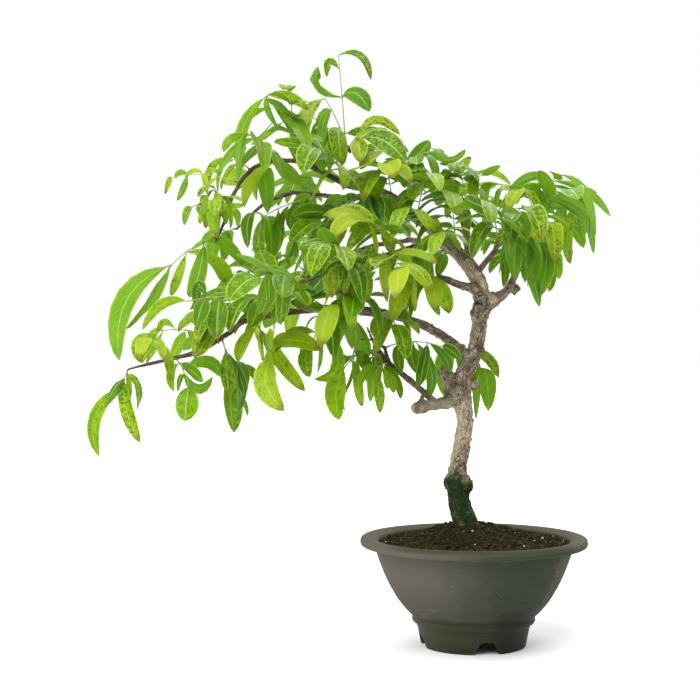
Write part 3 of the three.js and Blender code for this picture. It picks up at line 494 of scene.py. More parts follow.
def make_clay():
    finish = Finish("unglazed_clay")
    places = finish.places()
    x, y, z = finish.parts(places)
    right = x - float(pot_axis.x)
    back = y - float(pot_axis.y)
    cloudy = finish.noise(places, 14, 4)
    ragged = finish.noise(places, 62, 5, 0.6, 0.6)
    turned = finish.noise(finish.stretched(places, (18, 18, 900)), 1, 3)
    scraped = finish.noise(finish.stretched(places, (26, 26, 700)), 1, 2, 0.5, 0.4)
    grit = finish.noise(places, 1400, 2)
    pits = finish.cells(places, 420)

    border = right.ramp(14 * MM, 19 * MM) * STAIN_STEP
    shore = z - border + (ragged - 0.5) * 0.017 + (cloudy - 0.5) * 0.006
    damp = shore.ramp(STAIN_HEIGHT + 0.5 * MM, STAIN_HEIGHT - 0.5 * MM)
    past_edge = right * math.cos(RIGHT_SHADE_EDGE) + back * math.sin(RIGHT_SHADE_EDGE) + (ragged - 0.5) * 0.022
    beyond = past_edge.ramp(-0.8 * MM, 0.8 * MM)
    # Painted shade: darker and olive towards the right, up to an edge past which the clay is a middle tone.
    right_shade = right.ramp(-25 * MM, 45 * MM) * (1 - beyond)
    tide = shore.ramp(STAIN_HEIGHT + 2.4 * MM, STAIN_HEIGHT + 0.4 * MM) * (1 - damp)
    on_rim = z.ramp(90 * MM, 94 * MM)

    nick_x, nick_z = right - NICK[0], z - NICK[1]
    nick_across = abs(nick_x * 0.72 + nick_z * 0.69 + (grit - 0.5) * 0.0008)
    nick_along = abs(nick_x * 0.69 - nick_z * 0.72)
    nick_end = nick_along.ramp(NICK_LENGTH / 2, NICK_LENGTH / 2 - 1 * MM)
    nick = nick_across.ramp(0.75 * MM, 0.2 * MM) * nick_end
    nick = nick * back.ramp(-10 * MM, -20 * MM)

    # Painted light: the dry clay is painted paler towards the left, with cloudy patches of its own tone.
    lit = (cloudy * 0.6 + right * -7 + 0.08).ramp(0.25, 0.85)
    dry = finish.mix(colour(54, 58, 45), colour(86, 82, 74), lit)
    dry = finish.mix(dry, colour(40, 50, 32), right_shade * 0.75)
    dry = finish.mix(dry, colour(66, 64, 49), beyond * 0.85)
    # Painted shade: the clay is painted darker and more olive towards the bottom.
    dry = finish.mix(dry, colour(44, 46, 30), z.ramp(70 * MM, 34 * MM) * 0.35)
    scratches = (scraped * ragged).ramp(0.33, 0.42) * (0.32 - right_shade * 0.26)
    dry = finish.mix(dry, colour(112, 110, 98), scratches)
    dry = finish.mix(dry, colour(88, 84, 68), on_rim * 0.6)
    # Painted shade: the front face of the lip is painted darker.
    dry = finish.mix(dry, colour(52, 52, 38), on_rim * back.ramp(-50 * MM, -82 * MM) * 0.8)
    dry = finish.mix(dry, colour(58, 58, 44), tide * 0.35)
    # The wet clay is patchy as it dries, and painted lighter towards the left as painted light.
    drying_and_lit_left = (cloudy * 0.8 + right * -6 + turned * 0.3).ramp(0.4, 0.95)
    wet = finish.mix(colour(17, 25, 8), colour(54, 53, 33), drying_and_lit_left)
    coat = finish.mix(dry, wet, damp * 0.94)
    coat = finish.mix(coat, colour(34, 33, 26), pits.ramp(0.16, 0.05) * 0.5)
    coat = finish.mix(coat, colour(122, 118, 104), (grit * cloudy).ramp(0.40, 0.5) * 0.22)
    coat = finish.mix(coat, colour(24, 26, 20), nick * 0.85)

    relief = turned * 0.5 + grit * 0.35 + pits.ramp(0.0, 0.2) * 0.25 + ragged * 0.2 - nick * 0.6
    shader = finish.surface(
        base_color=coat,
        roughness=0.86 - damp * 0.28 + (grit - 0.5) * 0.1,
        specular=0.2,
        normal=finish.bump(relief, 0.35 * MM, 0.6),
    )
    return finish.done(shader)


finish_piece(pot, make_clay(), "clay", "pot")

# %% [markdown]
# The mesh over the drain hole and the wire that holds it are small plain parts that keep the solid model's
# own shape, so they only get a finish: dull black plastic with mould marks, and brown wire that has dulled.

# %% Mesh and wire


def make_plastic():
    finish = Finish("mesh_plastic")
    places = finish.places()
    cloudy = finish.noise(places, 220, 3)
    fine = finish.noise(places, 2600, 2)
    coat = finish.mix(colour(28, 34, 32), colour(58, 62, 56), cloudy.ramp(0.4, 0.8))
    relief = finish.bump(fine + cloudy, 0.1 * MM, 0.5)
    return finish.done(finish.surface(base_color=coat, roughness=0.5 + cloudy * 0.2, normal=relief))


def make_wire():
    finish = Finish("training_wire")
    places = finish.places()
    cloudy = finish.noise(places, 300, 4)
    drawn = finish.noise(finish.stretched(places, (200, 6000, 6000)), 1, 2)
    coat = finish.mix(colour(112, 78, 52), colour(158, 122, 92), cloudy.ramp(0.35, 0.7))
    relief = finish.bump(drawn, 0.05 * MM, 0.5)
    return finish.done(finish.surface(
        base_color=coat, roughness=0.3 + cloudy * 0.3, metallic=0.9, normal=relief))


for node, material in (("drainage_mesh", make_plastic()), ("mesh_wire", make_wire())):
    for part in frame["nodes"][node].material_slots:
        part.material = material

# %% [markdown]
# The potting mix is crumbs of bark and pumice, heaped towards the trunk. Sculpting it would be slow, so a
# fine grid is lifted to a mound, and each cell of a cell pattern becomes one rounded crumb. The grid reaches
# a little way into the pot's wall, which hides its edge. Its border is then pulled down inside the bowl, so
# that the soil is a closed body.

# %% Heap the soil
SOIL_STEP = 0.85 * MM
SOIL_REACH = 85.5 * MM
SOIL_PEAK = 105.8 * MM
SOIL_SHOULDER = 94.3 * MM
SOIL_EDGE = 88.6 * MM
TRUNK_FOOT = -5 * MM


def soil_mound(x, y):
    """The mound without its crumbs, for a place measured from the pot's axis."""
    away = math.hypot(x - TRUNK_FOOT * max(0.0, 1 - math.hypot(x, y) / (60 * MM)), y) / SOIL_REACH
    slope = math.exp(-(away / 0.5) ** 3)
    shelf = 1 - min(1.0, away) ** 3.2
    high = SOIL_EDGE + (SOIL_SHOULDER - SOIL_EDGE) * shelf + (SOIL_PEAK - SOIL_SHOULDER) * slope
    rough = noise.fractal(Vector((x, y, 0.3)) * 38, 0.9, 2.0, 4)
    return high + 1.3 * MM * rough * (1 - 0.6 * away ** 6)


def soil_height(x, y):
    lift = 0.0
    for size, share in ((4.2 * MM, 1.0), (2.2 * MM, 0.7)):
        near, _ = noise.voronoi(Vector((x, y, 0.4 * size)) / size, distance_metric="DISTANCE")
        lift += share * size * 0.42 * math.sqrt(max(0.0, 1 - min(1.0, near[0] / 0.75) ** 2))
    return soil_mound(x, y) - 1.3 * MM + lift


def heap_soil():
    bpy.ops.object.select_all(action="DESELECT")
    cells = round(2 * SOIL_REACH / SOIL_STEP)
    bpy.ops.mesh.primitive_grid_add(
        x_subdivisions=cells, y_subdivisions=cells, size=2 * SOIL_REACH, calc_uvs=False)
    piece = name_piece("potting_mix")
    points = points_of(piece.data)
    points[:, 2] = [soil_height(x, y) for x, y, _ in points]
    put_points(piece.data, points)
    middles = np.array([face.center[:2] for face in piece.data.polygons])
    outside = np.hypot(*middles.T) > SOIL_REACH
    bpy.ops.object.mode_set(mode="EDIT")
    bpy.ops.mesh.select_mode(type="FACE")
    bpy.ops.mesh.select_all(action="DESELECT")
    bpy.ops.object.mode_set(mode="OBJECT")
    piece.data.polygons.foreach_set("select", outside)
    bpy.ops.object.mode_set(mode="EDIT")
    bpy.ops.mesh.delete(type="FACE")
    bpy.ops.mesh.select_mode(type="EDGE")
    bpy.ops.mesh.select_all(action="SELECT")
    bpy.ops.mesh.region_to_loop()
    for drop, share in ((-34 * MM, 0.80), (-24 * MM, 0.80), (-8 * MM, 0.88)):
        bpy.ops.mesh.extrude_region_move(TRANSFORM_OT_translate={"value": (0, 0, drop)})
        bpy.ops.transform.resize(value=(share, share, 1), center_override=(0, 0, 0))
    bpy.ops.transform.resize(value=(1, 1, 0), center_override=(0, 0, 22 * MM))
    bpy.ops.mesh.edge_face_add()
    bpy.ops.mesh.select_all(action="SELECT")
    bpy.ops.mesh.normals_make_consistent(inside=False)
    bpy.ops.object.mode_set(mode="OBJECT")
    piece.data.transform(Matrix.Translation(pot_axis))
    smooth(piece, 50)
    return piece


soil = heap_soil()
print("soil faces", len(soil.data.polygons))

# %% [markdown]
# What makes soil look like soil is what lies loose on it: crumbs, pale pumice and broken bark fibres.
# A particle system could scatter them, but its copies aren't real meshes. One low crumb is modelled, and
# its points are copied to many places in one array, each time turned, squashed and sized by chance.

# %% Scatter loose grains
chance = np.random.default_rng(7)
SOIL_RIM = 82.5 * MM
TRUNK_CLEARANCE = 13 * MM
CRUMB_COUNT = 2600
PUMICE_COUNT = 60


def one_crumb():
    bpy.ops.object.select_all(action="DESELECT")
    bpy.ops.mesh.primitive_ico_sphere_add(subdivisions=2, radius=1)
    crumb = name_piece("crumb")
    points = points_of(crumb.data)
    lumps = [1 + 0.22 * noise.noise(Vector(p) * 1.7) for p in points]
    put_points(crumb.data, points * np.array(lumps)[:, None])
    apply_modifier(crumb, "DECIMATE", ratio=0.5)
    return crumb


def turned_at_random(points):
    """The points, turned by a random rotation."""
    basis, _ = np.linalg.qr(chance.normal(size=(3, 3)))
    if np.linalg.det(basis) < 0:
        basis[:, 0] *= -1
    return points @ basis.T


def piece_from(name, bodies):
    """One mesh out of many bodies, each a pair of points and faces."""
    points, faces, first = [], [], 0
    for own, own_faces in bodies:
        points.append(own)
        faces += [tuple(first + v for v in face) for face in own_faces]
        first += len(own)
    mesh = bpy.data.meshes.new(name)
    mesh.from_pydata(np.concatenate(points).tolist(), [], faces)
    piece = bpy.data.objects.new(name, mesh)
    bpy.context.scene.collection.objects.link(piece)
    return piece


def soil_spot():
    """A random place on the soil, clear of the trunk, and how high the soil is there."""
    while True:
        x, y = chance.uniform(-SOIL_RIM, SOIL_RIM, 2)
        if math.hypot(x, y) < SOIL_RIM and math.hypot(x - TRUNK_FOOT, y) > TRUNK_CLEARANCE:
            return x, y, soil_height(x, y)


def scatter(name, pattern, count, smallest, largest, flatness):
    own = points_of(pattern.data)
    faces = [tuple(face.vertices) for face in pattern.data.polygons]
    bodies = []
    for _ in range(count):
        x, y, height = soil_spot()
        size = smallest + (largest - smallest) * chance.random() ** 2.5
        shape = own * (1, chance.uniform(0.6, 1), chance.uniform(flatness, 1))
        place = Vector((x, y, height + size * 0.35)) + pot_axis
        bodies.append((turned_at_random(shape) * size + np.array(place), faces))
    piece = piece_from(name, bodies)
    smooth(piece, 30)
    return piece


crumb = one_crumb()
crumbs = scatter("soil_crumbs", crumb, CRUMB_COUNT, 0.45 * MM, 2.0 * MM, 0.5)
pumice = scatter("pumice_grains", crumb, PUMICE_COUNT, 0.4 * MM, 1.2 * MM, 0.6)
print("faces of one crumb", len(crumb.data.polygons), "of all", len(crumbs.data.polygons))

# %% [markdown]
# A fibre is a bent three-sided rod. Most lie flat, some stick up a little, as torn bark does.

# %% Scatter fibres
FIBRE_STEPS = 5
FIBRE_COUNT = 760


def fibre(length, width):
    angle = chance.uniform(0, 2 * math.pi)
    bow = chance.uniform(-0.35, 0.35)
    rise = chance.uniform(-0.05, 0.25)
    x, y, height = soil_spot()
    start = np.array(Vector((x, y, height + 0.4 * MM)) + pot_axis)
    heading = np.array([math.cos(angle), math.sin(angle), rise])
    side = np.array([-math.sin(angle), math.cos(angle), 0.0])
    points = []
    for k in range(FIBRE_STEPS + 1):
        t = k / FIBRE_STEPS
        middle = start + heading * length * t + side * bow * length * t * t
        middle[2] -= 0.1 * length * t * t
        thick = width * (0.4 + 0.6 * math.sin(math.pi * min(0.95, 0.15 + 0.8 * t)))
        for i in range(3):
            turn = 2 * math.pi * i / 3
            points.append(middle + side * thick * math.cos(turn) + np.array([0, 0, thick * math.sin(turn)]))
    faces = [(0, 2, 1), tuple(3 * FIBRE_STEPS + i for i in range(3))]
    for k in range(FIBRE_STEPS):
        for i in range(3):
            j = (i + 1) % 3
            faces.append((3 * k + i, 3 * k + j, 3 * k + 3 + j, 3 * k + 3 + i))
    return np.array(points), faces


fibres = piece_from("soil_fibres", [
    fibre(chance.uniform(3, 12) * MM, chance.uniform(0.12, 0.4) * MM) for _ in range(FIBRE_COUNT)])
smooth(fibres, 80)
bpy.data.objects.remove(crumb)
print("fibre faces", len(fibres.data.polygons))

# %% [markdown]
# Soil, crumbs and fibres share one family of browns. Colour changes from crumb to crumb by a cell pattern
# on the soil and by soft noise on the loose grains.

# %% Soil finishes


def make_earth(name, dark, warm, pale, cell_size):
    finish = Finish(name)
    places = finish.places()
    broad = finish.noise(places, 42, 3)
    fine = finish.noise(places, 900, 4)
    grain = finish.cells(places, cell_size, output="Color")
    red, green, _ = finish.parts(grain)
    coat = finish.mix(dark, warm, (red * 0.8 + broad * 0.5).ramp(0.35, 0.95))
    coat = finish.mix(coat, pale, (green * fine).ramp(0.48, 0.68) * 0.7)
    relief = finish.bump(fine, 0.4 * MM, 0.9)
    return finish.done(finish.surface(
        base_color=coat, roughness=0.95 - fine * 0.12, specular=0.12, normal=relief))


def make_pumice():
    finish = Finish("pumice")
    places = finish.places()
    pores = finish.noise(places, 1900, 4, 0.7)
    coat = finish.mix(colour(150, 140, 120), colour(226, 222, 208), pores.ramp(0.3, 0.62))
    return finish.done(finish.surface(
        base_color=coat, roughness=0.9, normal=finish.bump(pores, 0.3 * MM, 1.0)))


mix_earth = make_earth("mix_earth", colour(20, 20, 8), colour(46, 42, 18), colour(82, 79, 41), 330)
crumb_earth = make_earth("crumb_earth", colour(22, 23, 9), colour(56, 50, 21), colour(104, 97, 50), 520)
fibre_bark = make_earth("fibre_bark", colour(48, 40, 15), colour(98, 70, 28), colour(126, 120, 62), 260)
finish_piece(soil, mix_earth, "earth", "soil")
finish_piece(crumbs, crumb_earth, "earth")
finish_piece(fibres, fibre_bark, "earth")
finish_piece(pumice, make_pumice(), "earth")

# %% [markdown]
# A wisteria leaf is compound: a thin stalk with leaflets in pairs and one at its end. The solid model has
# each leaflet as a plain kite, which says where it grows, how it droops and how large it is. Leaflets could
# be scattered afresh, but then they would miss the solids, so the kites are read first. A kite's tip is a
# corner with three neighbours, all far off. Two rings of three corners and a root lie below it.

# %% Read where the leaflets grow
KITE_RING = 0.33
SHORTEST_SIDE = 4 * MM


class Arc:
    """A curve that leaves start towards control and comes into end from it."""

    def __init__(self, start, control, end):
        self.start, self.control, self.end = (np.asarray(p, dtype=float) for p in (start, control, end))
        steps = np.diff(self.at(np.linspace(0, 1, 40)), axis=0)
        self.length = np.linalg.norm(steps, axis=1).sum()

    def at(self, t):
        t = np.asarray(t, dtype=float)[:, None]
        return (1 - t) ** 2 * self.start + 2 * t * (1 - t) * self.control + t ** 2 * self.end

    def heading(self, t):
        t = np.asarray(t, dtype=float)[:, None]
        return unit((1 - t) * (self.control - self.start) + t * (self.end - self.control))


class Blade:
    """A leaflet: its midrib, its width, and the way across it or the way that its upper side faces."""

    def __init__(self, midrib, width, side=None, facing=None):
        self.midrib, self.width, self.side, self.facing = midrib, width, side, facing

    def across(self, headings):
        if self.facing is None:
            return across_from(headings, self.side)
        return unit(np.cross(headings, self.facing))


def unit(vectors):
    return vectors / np.maximum(np.linalg.norm(vectors, axis=-1, keepdims=True), 1e-9)


def across_from(headings, direction):
    """The part of a direction that is square to each heading."""
    return unit(direction - headings * (headings @ direction)[:, None])


def corners_of(node):
    """The corners of a solid of the frame, each once, and the neighbours of each."""
    mesh = frame["nodes"][node].data
    places = points_of(mesh)
    keys, index = np.unique(np.rint(places / (0.01 * MM)).astype(int), axis=0, return_inverse=True)
    index = index.ravel()
    corners = np.zeros((len(keys), 3))
    corners[index] = places
    neighbours = [set() for _ in keys]
    for start, end in index[edges_of(mesh)]:
        if start != end:
            neighbours[start].add(int(end))
            neighbours[end].add(int(start))
    return corners, neighbours


def read_leaflet(corners, root, ring, tip):
    """One kite as a blade. Its keel lies opposite the longest side of its ring."""
    base = corners[list(root)].mean(axis=0)
    ring = corners[list(ring)]
    sides = [np.linalg.norm(ring[i - 1] - ring[i - 2]) for i in range(3)]
    widest = int(np.argmax(sides))
    keel = ring[widest]
    t = KITE_RING
    shoulder = (keel - (1 - t) ** 2 * base - t * t * corners[tip]) / (2 * t * (1 - t))
    midrib = Arc(base, shoulder, corners[tip])
    upwards = (ring[widest - 1] + ring[widest - 2]) / 2 - keel
    return Blade(midrib, max(sides), side=unit(np.cross(midrib.heading([t])[0], upwards)))


def read_stalk(corners):
    """The curve through the middles of a stalk's rings, from its thick end to its thin one."""
    middle = corners.mean(axis=0)
    run = np.linalg.svd(corners - middle)[2][0]
    rings = corners[np.argsort((corners - middle) @ run)].reshape(-1, 3, 3)
    if np.ptp(rings[0], axis=0).sum() < np.ptp(rings[-1], axis=0).sum():
        rings = rings[::-1]
    centres = rings.mean(axis=1)
    steps = np.linalg.norm(np.diff(centres, axis=0), axis=1)
    shares = np.concatenate([[0], np.cumsum(steps)]) / steps.sum()
    bow, slope, start = np.polyfit(shares, centres, 2)
    return Arc(start, start + slope / 2, start + slope + bow)


def read_leaf(node):
    corners, neighbours = corners_of(node)
    leaflets, used = [], set()
    for tip, upper in enumerate(neighbours):
        reach = [np.linalg.norm(corners[tip] - corners[i]) for i in upper]
        if len(upper) != 3 or min(reach) < SHORTEST_SIDE:
            continue
        lower = set().union(*(neighbours[i] for i in upper)) - upper - {tip}
        root = set().union(*(neighbours[i] for i in lower)) - upper - lower
        leaflets.append(read_leaflet(corners, root, lower, tip))
        used |= {tip} | upper | lower
    rest = [i for i in range(len(corners)) if i not in used]
    return read_stalk(corners[rest]), leaflets


skeletons = {node: read_leaf(node) for node in leaf_nodes}
print("leaflets", sum(len(leaflets) for _, leaflets in skeletons.values()))

# %% [markdown]
# Where the crown shows its outline against the light, a leaflet's very curve matters, so the leaflets
# there are bent to the picture. Each is told by its leaf and its number, with five numbers in pixels of
# the picture: the middle of its midrib, across and down, its tip, across and down, and its width. A sixth,
# where there is one, is the share of the stalk at which its foot sits. The tip keeps its depth, but it leans
# to the front or the back by half of the leaflet's seen length at most. Some leaves get new leaflets too.

# %% Bend the outer leaflets to the picture
MM_PER_PIXEL = 0.881
AXIS_PIXEL, GROUND_PIXEL = 473.3, 644.2
BENT_LEAFLETS = {
    1: {0: (321, 86, 320, 68, 19, 0.48), 1: (356, 94, 368, 112, 18, 0.49), 2: (361, 56, 373, 80, 13),
        3: (329, 62, 325, 77, 9, 0.82), 4: (375, 136, 409, 152, 22, 0.05)},
    2: {3: (376, 119, 401, 134, 9)},
    3: {0: (304, 120, 304, 154, 19), 1: (321, 118, 323, 143, 12), 2: (330, 142, 316, 160, 12),
        3: (324, 122, 322, 145, 9)},
    4: {4: (419, 153, 428, 140, 17), 5: (440, 156, 452, 167, 12), 6: (450, 160, 466, 150, 10)},
    6: {4: (462, 168, 472, 158, 13), 6: (488, 172, 500, 165, 8)},
    8: {0: (533, 176, 508, 192, 12), 1: (523, 190, 497, 205, 13), 5: (584, 190, 594, 236, 12),
        6: (578, 200, 588, 238, 13), 7: (585, 189, 611, 216, 14)},
    10: {4: (568, 235, 573, 263, 15), 7: (590, 225, 593, 254, 11)},
    11: {0: (505, 268, 503, 287, 10), 1: (513, 256, 509, 266, 9), 2: (531, 270, 543, 306, 15),
         3: (549, 268, 550, 292, 13), 4: (552, 258, 556, 279, 18)},
    12: {3: (531, 262, 538, 292, 12), 4: (535, 262, 543, 284, 12)},
    13: {8: (580, 222, 590, 236, 9)},
    22: {0: (247, 120, 246, 151, 8), 1: (268, 134, 251, 145, 9), 2: (296, 150, 300, 163, 12),
         3: (242, 128, 241, 168, 11), 4: (289, 112, 303, 124, 12)},
    23: {0: (232, 138, 222, 152, 9), 1: (236, 148, 216, 172, 10), 2: (252, 152, 242, 166, 12),
         3: (240, 148, 236, 183, 8), 7: (264, 132, 273, 122, 6)},
    25: {0: (170, 181, 167, 195, 8), 1: (180, 172, 174, 178, 6), 2: (184, 187, 177, 201, 6),
         3: (194, 171, 186, 178, 7), 4: (205, 180, 207, 194, 8), 5: (212, 170, 204, 181, 8)},
    26: {0: (205, 198, 206, 208, 9), 1: (187, 211, 183, 225, 8), 2: (204, 209, 209, 217, 9),
         3: (205, 212, 203, 223, 9)},
    27: {0: (208, 172, 207, 187, 8), 1: (214, 166, 212, 180, 9)},
    28: {6: (284, 167, 304, 181, 22)},
    29: {0: (127, 300, 120, 360, 19), 1: (213, 262, 232, 289, 19), 2: (225, 244, 245, 266, 15),
         3: (178, 278, 170, 295, 11), 4: (200, 274, 193, 298, 18)},
    30: {0: (210, 207, 203, 216, 9), 7: (236, 206, 243, 207, 6), 8: (236, 212, 238, 227, 8)},
    31: {0: (258, 240, 262, 266, 13), 1: (276, 238, 265, 264, 17), 2: (281, 222, 284, 236, 10),
         3: (290, 220, 296, 240, 20)},
    34: {0: (207, 241, 192, 249, 10), 1: (212, 262, 226, 276, 12)},
    35: {0: (163, 305, 146, 331, 12), 1: (199, 287, 194, 306, 14)},
    36: {0: (222, 290, 209, 308, 17)},
    37: {0: (139, 345, 143, 363, 14), 1: (152, 336, 145, 360, 12), 2: (155, 347, 146, 363, 8),
         3: (178, 344, 168, 357, 12), 4: (165, 322, 158, 333, 10), 5: (191, 342, 187, 351, 12),
         6: (197, 343, 199, 355, 12), 7: (193, 318, 182, 330, 11)},
    38: {0: (114, 390, 105, 408, 17), 1: (95, 418, 101, 456, 14), 2: (130, 385, 130, 401, 9),
         3: (126, 408, 141, 442, 15), 4: (139, 388, 137, 412, 13)},
    39: {0: (172, 374, 175, 391, 12), 1: (181, 377, 178, 392, 8), 2: (186, 402, 184, 421, 23),
         3: (197, 388, 212, 376, 12), 4: (192, 371, 203, 382, 16), 5: (208, 362, 219, 378, 15)},
    40: {0: (226, 375, 226, 394, 18), 1: (229, 402, 230, 433, 27), 3: (244, 403, 249, 417, 11),
         4: (240, 378, 243, 395, 10), 5: (248, 370, 262, 392, 12)},
    41: {0: (243, 345, 240, 362, 14), 3: (281, 364, 305, 391, 19), 4: (268, 372, 273, 384, 12),
         5: (266, 382, 286, 409, 20)},
    43: {3: (305, 358, 308, 378, 13), 6: (338, 365, 314, 378, 14)},
    45: {0: (336, 370, 331, 398, 12), 1: (336, 392, 337, 420, 22), 4: (358, 385, 362, 407, 10),
         6: (371, 375, 375, 388, 10)},
    46: {0: (366, 372, 361, 390, 11), 1: (379, 392, 381, 413, 14), 2: (387, 378, 388, 389, 9),
         3: (391, 380, 395, 393, 9), 4: (396, 381, 401, 399, 12)},
    47: {0: (398, 355, 404, 372, 12), 1: (412, 358, 423, 376, 13), 2: (424, 365, 419, 387, 15),
         3: (420, 362, 417, 383, 13), 4: (432, 371, 428, 400, 13), 5: (444, 357, 448, 372, 12),
         6: (450, 350, 462, 360, 12)},
    48: {0: (452, 350, 443, 358, 10), 1: (472, 374, 472, 388, 9), 2: (486, 357, 498, 378, 14),
         3: (478, 385, 475, 420, 13)},
    55: {1: (290, 262, 262, 272, 14)},
}
MORE_LEAFLETS = {
    22: ((289, 96, 310, 108, 13, 1.0), (268, 110, 279, 130, 9, 1.0), (281, 112, 289, 134, 12, 0.97)),
    29: ((150, 298, 126, 330, 22, 1.0),),
}
STEEPEST_LEAN = 0.5
DEPTH_STRAY = 6
TOWARDS_CAMERA = (0, -1, 0.35)
FACING_STRAY = 0.28
TURNED_OVER = 0.3


def photo_point(across, down, depth):
    """A point of the picture, in its pixels, at a depth in millimetres behind the pot's axis."""
    return np.array(seen((across - AXIS_PIXEL) * MM_PER_PIXEL, (GROUND_PIXEL - down) * MM_PER_PIXEL, depth))


def depth_of(point):
    return (point[1] - pot_axis.y) / MM


def blade_through(base, tip_depth, middle_x, middle_y, tip_x, tip_y, width):
    """A blade from its base through two points of the picture, with one side towards the camera."""
    seen_length = math.dist(photo_point(tip_x, tip_y, 0), photo_point(middle_x, middle_y, 0)) / MM * 2
    furthest = STEEPEST_LEAN * seen_length
    tip_depth = depth_of(base) + np.clip(tip_depth - depth_of(base), -furthest, furthest)
    middle = photo_point(middle_x, middle_y, (depth_of(base) + tip_depth) / 2)
    tip = photo_point(tip_x, tip_y, tip_depth)
    facing = unit(np.array(TOWARDS_CAMERA) + bending.normal(0, FACING_STRAY, 3))
    if bending.random() < TURNED_OVER:
        facing = -facing
    midrib = Arc(base, 2 * middle - (base + tip) / 2, tip)
    return Blade(midrib, width * MM_PER_PIXEL * MM, facing=facing)


bending = np.random.default_rng(11)
for number, changes in BENT_LEAFLETS.items():
    stalk_arc, blades = skeletons[f"leaf_{number:02d}"]
    for leaflet_number, row in changes.items():
        figures, foot = row[:5], row[5:]
        old = blades[leaflet_number].midrib
        base = stalk_arc.at(foot)[0] if foot else old.start
        blades[leaflet_number] = blade_through(base, depth_of(old.end), *figures)
for number, rows in MORE_LEAFLETS.items():
    stalk_arc, blades = skeletons[f"leaf_{number:02d}"]
    for *figures, foot in rows:
        base = stalk_arc.at([foot])[0]
        blades.append(blade_through(base, depth_of(base) + bending.normal(0, DEPTH_STRAY), *figures))
print("leaflets bent to the picture", sum(len(changes) for changes in BENT_LEAFLETS.values()))

# %% [markdown]
# The wood of the solid model is made of straight bars, so it has flat sides and hard bends. Grown wood has
# neither. A voxel remesh turns the bars into one even skin of small squares, which fuses them where they
# fork, and a smooth modifier rounds the skin. Rounding also thins the twigs, so what each point lost is
# given back after it. The roots are hidden in the soil and are cut off. Eight short stumps are joined to
# the bars before the remesh. The sixth and seventh make the end of the sawn stub. They start a few
# millimetres behind it, so that end stays a body of its own.

# %% Round the wood
WOOD_VOXEL = 1.08 * MM
WOOD_ROUNDING = 12
WOOD_BOTTOM = 88 * MM
THICK_WOOD = 7.0 * MM
KNOB_SIDES = 14
KNOBS = (
    ((-16, 223, -3), (-27, 243, -7), 6.6, 6.0),
    ((-10, 225, 0), (5, 228.5, -3), 5.0, 3.8),
    ((3, 286, -4), (5.2, 301, -8), 4.2, 3.4),
    ((34, 310, 20), (40.5, 315, 18), 4.0, 3.2),
    ((4, 258, 0), (9.5, 261, -2), 3.8, 2.8),
    ((-43, 209, 1), (-51.5, 207.4, -8.5), 5.4, 5.7),
    ((-42, 211, -2), (-47, 216, -4), 3.0, 2.2),
    ((-6, 240, -4), (-2, 241, -5), 3.4, 2.0),
)
SWELLINGS = (
    ((-22, 144), 12, 3.0), ((-4, 140), 11, 3.6), ((-14, 141), 13, 1.6),
    ((-23, 221), 13, 3.2), ((-14, 221), 12, 2.0), ((9, 271), 4, 1.3), ((-1, 291), 4, 1.5),
    ((-1.8, 180), 3.2, 1.4), ((-2.2, 173), 2.8, 1.2),
)


def neighbour_mean(values, edges, rounds):
    """The values, each averaged with those of its neighbours, a number of times over."""
    first, second = edges.T
    count = np.bincount(edges.ravel(), minlength=len(values)) + 1.0
    columns = np.array(values, dtype=float).reshape(len(values), -1)
    for _ in range(rounds):
        columns = np.stack([
            (column + np.bincount(first, column[second], len(column))
             + np.bincount(second, column[first], len(column))) / count
            for column in columns.T
        ], axis=1)
    return columns.reshape(np.shape(values))


def tree_of(mesh):
    """The mesh as a tree of faces, which finds quickly where a ray meets it."""
    places = [vertex.co.copy() for vertex in mesh.vertices]
    return BVHTree.FromPolygons(places, [tuple(face.vertices) for face in mesh.polygons])


def add_knob(start, end, thick, thin):
    """A short tapering stump between two seen places, with its two radii in millimetres."""
    start, end = seen(*start), seen(*end)
    bpy.ops.object.select_all(action="DESELECT")
    bpy.ops.mesh.primitive_cone_add(
        vertices=KNOB_SIDES, radius1=thick * MM, radius2=thin * MM, depth=(end - start).length,
        location=(start + end) / 2, rotation=(end - start).to_track_quat("Z", "Y").to_euler())
    bpy.ops.object.transform_apply(location=True, rotation=True)
    return name_piece("knob")


wood = merged_copy("trunk_and_branches", "bark_wood")
knobs = [add_knob(*knob) for knob in KNOBS]
take(wood)
for knob in knobs:
    knob.select_set(True)
bpy.ops.object.join()
bar_tree = tree_of(wood.data)
apply_modifier(wood, "REMESH", mode="VOXEL", voxel_size=WOOD_VOXEL)
wood_edges = edges_of(wood.data)
square_skin = points_of(wood.data)
apply_modifier(wood, "SMOOTH", factor=0.5, iterations=WOOD_ROUNDING)
skin, outwards = points_of(wood.data), normals_of(wood.data)
lost = np.einsum("ij,ij->i", square_skin - skin, outwards)
lost = neighbour_mean(np.clip(lost, -0.4 * MM, 1.2 * MM), wood_edges, 25)
put_points(wood.data, skin + outwards * lost[:, None])

take(wood)
bpy.ops.object.mode_set(mode="EDIT")
bpy.ops.mesh.select_all(action="SELECT")
bpy.ops.mesh.bisect(plane_co=(0, 0, WOOD_BOTTOM), plane_no=(0, 0, 1), clear_inner=True, use_fill=True)
bpy.ops.object.mode_set(mode="OBJECT")
print("wood faces", len(wood.data.polygons))

# %% [markdown]
# The trunk's bark is the finest thing on the wood, so the squares of the thick wood are split in four. How
# thick it is at a point is measured straight in through it, as half the way to the far side.

# %% Split the skin of the thick wood


def radius_at(points, normals, edges):
    """Half of the way through the wood at each point, evened out over its neighbours."""
    radius = np.empty(len(points))
    for i, (point, normal) in enumerate(zip(points, normals)):
        inwards = Vector(-normal)
        way = bar_tree.ray_cast(Vector(point) + inwards * 0.3 * MM, inwards, 30 * MM)[3]
        radius[i] = 8 * MM if way is None else way / 2
    return neighbour_mean(np.clip(radius, 0.8 * MM, 11 * MM), edges, 30)


